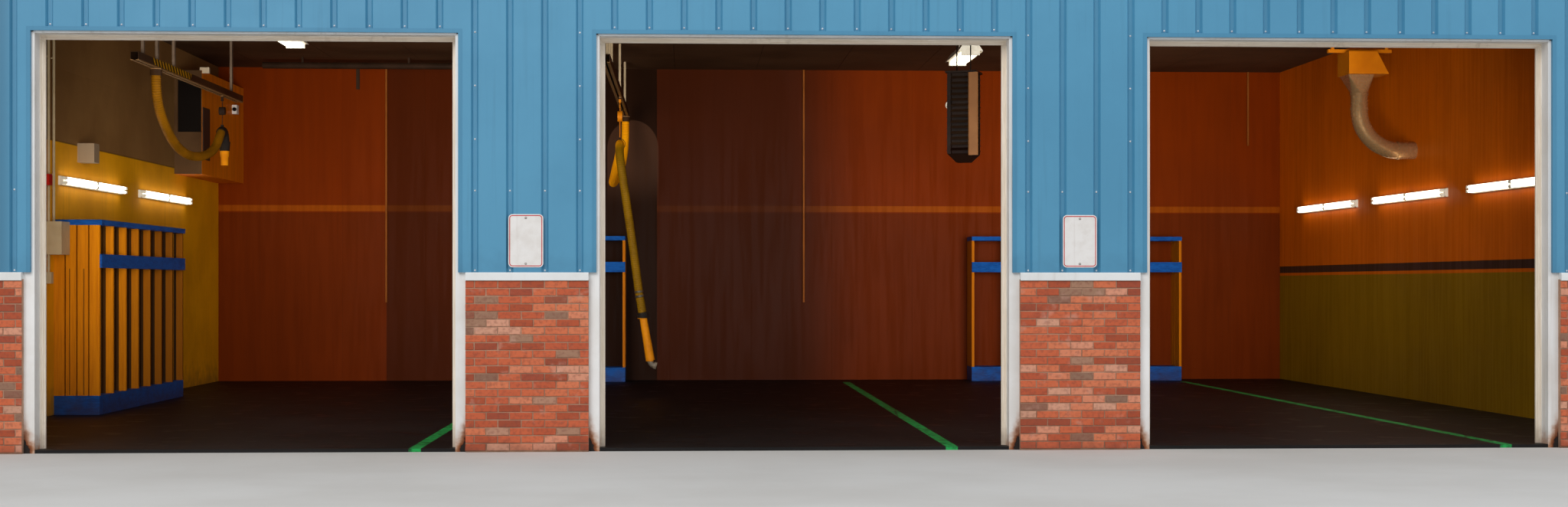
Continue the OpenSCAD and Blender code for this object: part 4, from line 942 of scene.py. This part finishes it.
# %% Hose rails
m = Finish("rail_paint", 0.5, 0.2)
cream = m.x > -4.0
light, dark = m.blend(cream, (124, 104, 86), (190, 168, 136)), m.blend(cream, (104, 86, 70), (170, 148, 116))
tone = m.blend(m.z > 4.026, m.cloudy((66, 44, 26), (50, 32, 20), 0.4), m.cloudy(light, dark, 0.3))
stripe = m.blend(m.calc("FRACT", (m.y + m.z) / 0.13) > 0.5, (40, 28, 12), (178, 128, 12))
tone = m.places(tone, [((-7.2, -1.1, 3.95), (-7.0, 0.65, 4.024), stripe),
                       ((-FAR, -FAR, 3.92), (FAR, FAR, 3.943), (142, 106, 66)),
                       ((-7.2, 2.3, 3.6), (-7.0, 2.6, 3.9), (44, 32, 26)),
                       ((-2.0, 2.3, 3.4), (-1.8, 2.5, 3.9), (214, 124, 14))])
wear(m.done(tone, None, m.noise(0.06, 4.0), strength=0.5), "exhaust_rail_1", "exhaust_rail_2")

# %% [markdown]
# ## Lamps
# Wall lamps hang in rows on both side walls, each with two tubes end to end in two rows on a white channel.
# Two more hang from the ceiling. The housings are profiles carried along the lamp, and the tubes are turned
# shapes with metal caps. Only the glass glows.

# %% Lamp finishes and shapes
TUBE_R, CAP_R, TUBE_SIDES = 0.019, 0.0192, 14

m = Finish("lit_tubes", 0.3)
warm = m.fade(m.noise(0.3, 2.0), 0.3, 0.7, 0.92, 1.0)
m.feed(m.shader["Emission Color"], m.blend(warm, (255, 225, 170), (255, 246, 224)))
m.shader["Emission Strength"].default_value = 3.4
LIT, TUBE_CAP = m.done((240, 238, 230)), metal("tube_caps", (190, 190, 186), 0.35)


def extruded(shape, start_at, end_at):
    """An outline of (across, up) rows carried along Y from start_at to end_at, with its ends closed."""
    shape = np.asarray(shape, float)
    ends = [np.c_[shape[:, 0], np.full(len(shape), y), shape[:, 1]] for y in (start_at, end_at)]
    return np.vstack(ends), ring_faces(2, len(shape))


def tube_at(x, z, y0, y1, radius=TUBE_R, ends=0.006):
    """A glass tube along Y with rounded ends, as rings of growing and shrinking radius."""
    y = np.array([y0, y0 + ends * 0.3, y0 + ends, y1 - ends, y1 - ends * 0.3, y1])
    r = radius * np.array([0.6, 0.88, 1, 1, 0.88, 0.6])
    points, faces = turned(np.stack([r, y], -1), TUBE_SIDES)
    return points[:, [0, 2, 1]] * [1, 1, -1] + [x, 0, z], faces


def make_lamps(name, solid, housings, glass, caps):
    """Makes the three pieces of a row of lamps. Housings and glass stand for the solid."""
    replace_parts(piece(name + "_housings", *merged(housings), LAMP_WHITE), solid)
    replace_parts(piece(name + "_tubes", *merged(glass), LIT, True), solid)
    piece(name + "_caps", *merged(caps), TUBE_CAP, True)
    print(name, "has", len(glass), "tubes")


print("finishes of the lamps:", LAMP_WHITE.name, LIT.name, TUBE_CAP.name)

# %% Wall lamps
LAMP_L, TUBE_OUT, TUBE_UP, CLIP_OUT, CLIP_HALF, CLIP_THICK = 2.44, 0.07, 0.024, 0.092, 0.016, 0.014
END_GAP, MID_GAP, GLASS_IN, CAP_OUT, CAP_IN = 0.03, 0.015, 0.02, 0.004, 0.021
LAMP_SPOTS = [(-INNER_X, y - WALL_Y, 2.62, 1) for y in (4.95, 8.2)]
LAMP_SPOTS += [(INNER_X, y - WALL_Y, 2.56, -1) for y in (2.6, 5.8, 9.0)]
CHANNEL = [(0.0, -0.052), (0.03, -0.049), (0.044, -0.022), (0.046, 0.022), (0.03, 0.049), (0.0, 0.052)]
housings, glass, caps = [], [], []
for x, y, z, side in LAMP_SPOTS:
    housings.append(extruded([(x + side * a, z + b) for a, b in CHANNEL[::side]], y, y + LAMP_L))
    for level in (z - TUBE_UP, z + TUBE_UP):
        for part in (0, 1):
            y0 = y + END_GAP + part * (LAMP_L / 2 - MID_GAP)
            y1 = y0 + LAMP_L / 2 - END_GAP - MID_GAP
            glass.append(tube_at(x + side * TUBE_OUT, level, y0 + GLASS_IN, y1 - GLASS_IN))
            for ya, yb in ((y0 - CAP_OUT, y0 + CAP_IN), (y1 - CAP_IN, y1 + CAP_OUT)):
                caps.append(tube_at(x + side * TUBE_OUT, level, ya, yb, CAP_R, 0.003))
            a, b = sorted((x, x + side * CLIP_OUT))
            for ya in (y0 - CLIP_THICK - 0.002, y1 + 0.002):
                housings.append(box([a, ya, level - CLIP_HALF], [b, ya + CLIP_THICK, level + CLIP_HALF]))
make_lamps("wall_lamp", "wall_lights", housings, glass, caps)

# %% Ceiling lamps
HOOD = [(-0.09, 0.09), (0.09, 0.09), (0.15, 0.0), (0.148, -0.006), (0.14, 0.0), (-0.14, 0.0),
        (-0.148, -0.006), (-0.15, 0.0)]
CEILING_Z, HALF_L, TUBE_DROP, TUBE_GAP, TUBE_HALF, CAP_AT = 4.3, 0.61, 0.024, 0.08, 0.575, (0.572, 0.598)
HOLDER_LOW, HOLDER_HIGH, HOLDER_AT, ROD_AT = [-0.11, -0.015, -0.05], [0.11, 0.015, 0.01], 0.59, 0.4067
ROD, ROD_FACES = turned([(0.007, 0.08), (0.007, 0.4)], 10)
housings, glass, caps = [], [], []
for x, depth in ((-5.65, 5.675), (2.4, 7.175)):
    y, z = depth - WALL_Y, CEILING_Z
    housings.append(extruded([(x + a, z + b) for a, b in HOOD], y - HALF_L, y + HALF_L))
    for across in (x - TUBE_GAP, x, x + TUBE_GAP):
        glass.append(tube_at(across, z - TUBE_DROP, y - TUBE_HALF, y + TUBE_HALF))
        for ya, yb in ((y - CAP_AT[1], y - CAP_AT[0]), (y + CAP_AT[0], y + CAP_AT[1])):
            caps.append(tube_at(across, z - TUBE_DROP, ya, yb, CAP_R))
    for side in (-1, 1):
        holder = np.array([x, y + side * HOLDER_AT, z])
        housings.append(box(holder + HOLDER_LOW, holder + HOLDER_HIGH))
        housings.append((ROD + [x, y + side * ROD_AT, z], ROD_FACES))
make_lamps("ceiling_lamp", "ceiling_lights", housings, glass, caps)

# %% [markdown]
# ## Fittings
# The remaining solids keep their shapes and get their own paint: a dark louvred heater with a beige post, an
# orange fan box, orange slatted racks with blue boards, dark pipes and pale boxes on the wall.

# %% Paint for the racks
STALL_Y = -1.55


def rack_boards(name, light, dark, stretch, stall_shade=False):
    """Painted boards. With stall shade, painted shade darkens everything behind the front 75 mm of the
    dividers, two gaps that part the three boards of the nearest panel, and the rack towards its far end."""
    m = Finish(name, 0.55)
    wood, grain = m.grain(m.stretched(stretch), light, dark)
    tone = m.grime(wood, (60, 36, 14), 0.5, 0.6)
    if stall_shade:
        # Masks of painted shade: the stalls behind the dividers' fronts, and two gaps between boards.
        gaps = (m.inside((x - 0.004, -FAR, 0.25), (x + 0.004, STALL_Y, 1.64)) for x in (-7.83, -7.675))
        shade = m.either(m.inside((-FAR, STALL_Y, 0), (-7.585, FAR, FAR)), *gaps)
        # Painted shade darkens the rack towards its far end.
        tone = m.blend(m.fade(m.y, -1.5, 1.2, 0.0, 0.85), tone, (88, 46, 4))
        tone = m.blend(shade * 0.92, tone, (26, 16, 8))
    return m.done(tone, None, grain, strength=0.5)


wear(rack_boards("rack_uprights", (212, 126, 6), (194, 110, 5), (18, 18, 0.8), True), "left_gear_rack")
wear(rack_boards("back_rack_uprights", (190, 108, 6), (170, 94, 5), (18, 18, 0.8)), "back_gear_racks")
wear(rack_boards("rack_shelves", (18, 82, 156), (10, 62, 126), (4, 4, 18)), "rack_shelves")

# %% [markdown]
# The heater's paint is darker below its body, where the hopper is, and faces that look up are lighter as
# painted light. Its pale front post is a profile carried upward and turned with the heater.

# %% Heater
HEATER, HEATER_TURN, POST_H = (1.985, -2.205, 2.865), np.radians(-20), 0.9
POST = [(0.085, 0.0), (0.085, -0.014), (0.095, -0.02), (0.181, -0.02), (0.191, -0.012), (0.191, 0.0)]

m = Finish("heater_paint", 0.5)
facing = m.add("SeparateXYZ", {0: m.add("NewGeometry", out="Normal")}, "Z")
tone = m.cloudy((34, 22, 15), (22, 14, 10), 0.2)
# Painted light: faces that look up are lighter.
tone = m.blend(m.fade(facing, 0.75, 0.9, 0.0, 0.6), tone, (78, 54, 36))
wear(m.done(m.blend(m.fade(m.z, 3.0, 2.96), tone, (30, 14, 7)), None, m.noise(1 / 30)), "unit_heater")

c, s = np.cos(HEATER_TURN), np.sin(HEATER_TURN)
points, faces = extruded(POST, 0.0, POST_H)
points = (points[:, [0, 2, 1]] + [0, -0.152, 0.005]) @ [[c, s, 0], [-s, c, 0], [0, 0, 1]] + HEATER
piece("heater_front_post", points, [row[::-1] for row in faces],
      coat("heater_beige", (146, 97, 56), (132, 86, 48), 0.3, amount=0.15))
print("the heater's post is", POST_H, "m high")

# %% [markdown]
# The two nozzles share one recipe that changes with height. The left one is a black elbow over a yellow
# stub. The middle one has a dark collar, an orange tube, and a steel elbow at the bottom. Pipes and wall
# boxes pick their colours by place too.

# %% Nozzles, fan, pipes and wall boxes
m = Finish("nozzle_paint", 0.6)
orange = m.cloudy((214, 132, 12), (190, 112, 8), 0.2)
tone = m.places(m.cloudy((36, 30, 26), (24, 20, 18), 0.1), [((-FAR, 0, 2.9), (-6, FAR, 3.215), orange),
                                                           ((-3, 0, 0.47), (0, FAR, 1.031), orange)])
low = m.z < 0.47
tone = m.blend(low, tone, m.cloudy((128, 116, 100), (92, 82, 70), 0.05))
wear(m.done(tone, m.fade(low, 0.0, 1.0, 0.6, 0.35), m.noise(0.02, 4.0), 0.0012, 0.5),
     "hose_nozzle_1", "hose_nozzle_2")

m = Finish("box_paint", 0.5)
tone = m.places(m.cloudy((186, 164, 128), (170, 148, 112), 0.3), [
    ((-FAR, -2.02, 2.5), (-7, -1.9, 2.7), (176, 26, 18)),
    ((-FAR, -0.8, 2.8), (-7, -0.5, 3.1), (150, 128, 102))])
wear(m.done(m.runs(tone, (90, 70, 48)), None, m.noise(1 / 30)), "wall_boxes")

m = Finish("pipe_paint", 0.5)
thin = m.cloudy((140, 78, 30), (124, 68, 24), 0.3)
tone = m.blend(m.y > 6.05, m.cloudy((48, 32, 22), (36, 24, 16), 0.3), thin)
wear(m.done(m.runs(tone, (60, 44, 30))), "back_pipes")

wear(coat("fan_paint", (192, 108, 7), (176, 95, 6), 0.3), "exhaust_fan")

# %% [markdown]
# A small white ring with a dark middle is screwed to the back wall beside the heater. Both are turned shapes.

# %% Ring on the back wall
RING_AT, RING_R = np.array([2.93, INNER_Y, 4.18]), 0.063
RIM = turned([(RING_R, -0.001), (0.062, 0.010), (0.056, 0.014), (0.046, 0.014), (0.04, 0.009),
              (0.039, 0.003)], 32)
MIDDLE = turned([(0.04, 0.0005), (0.039, 0.006), (0.02, 0.008), (0.004, 0.009)], 24)
ring_black = coat("ring_middle", (30, 22, 18), (22, 16, 12), 0.3)
RINGS = (("wall_ring", RIM, LAMP_WHITE), ("wall_ring_middle", MIDDLE, ring_black))
for name, (points, faces), finish in RINGS:
    piece(name, points @ FRONT + RING_AT, faces, finish, True)
print("the ring is", 2 * RING_R, "m wide")

# %% [markdown]
# ## Finish
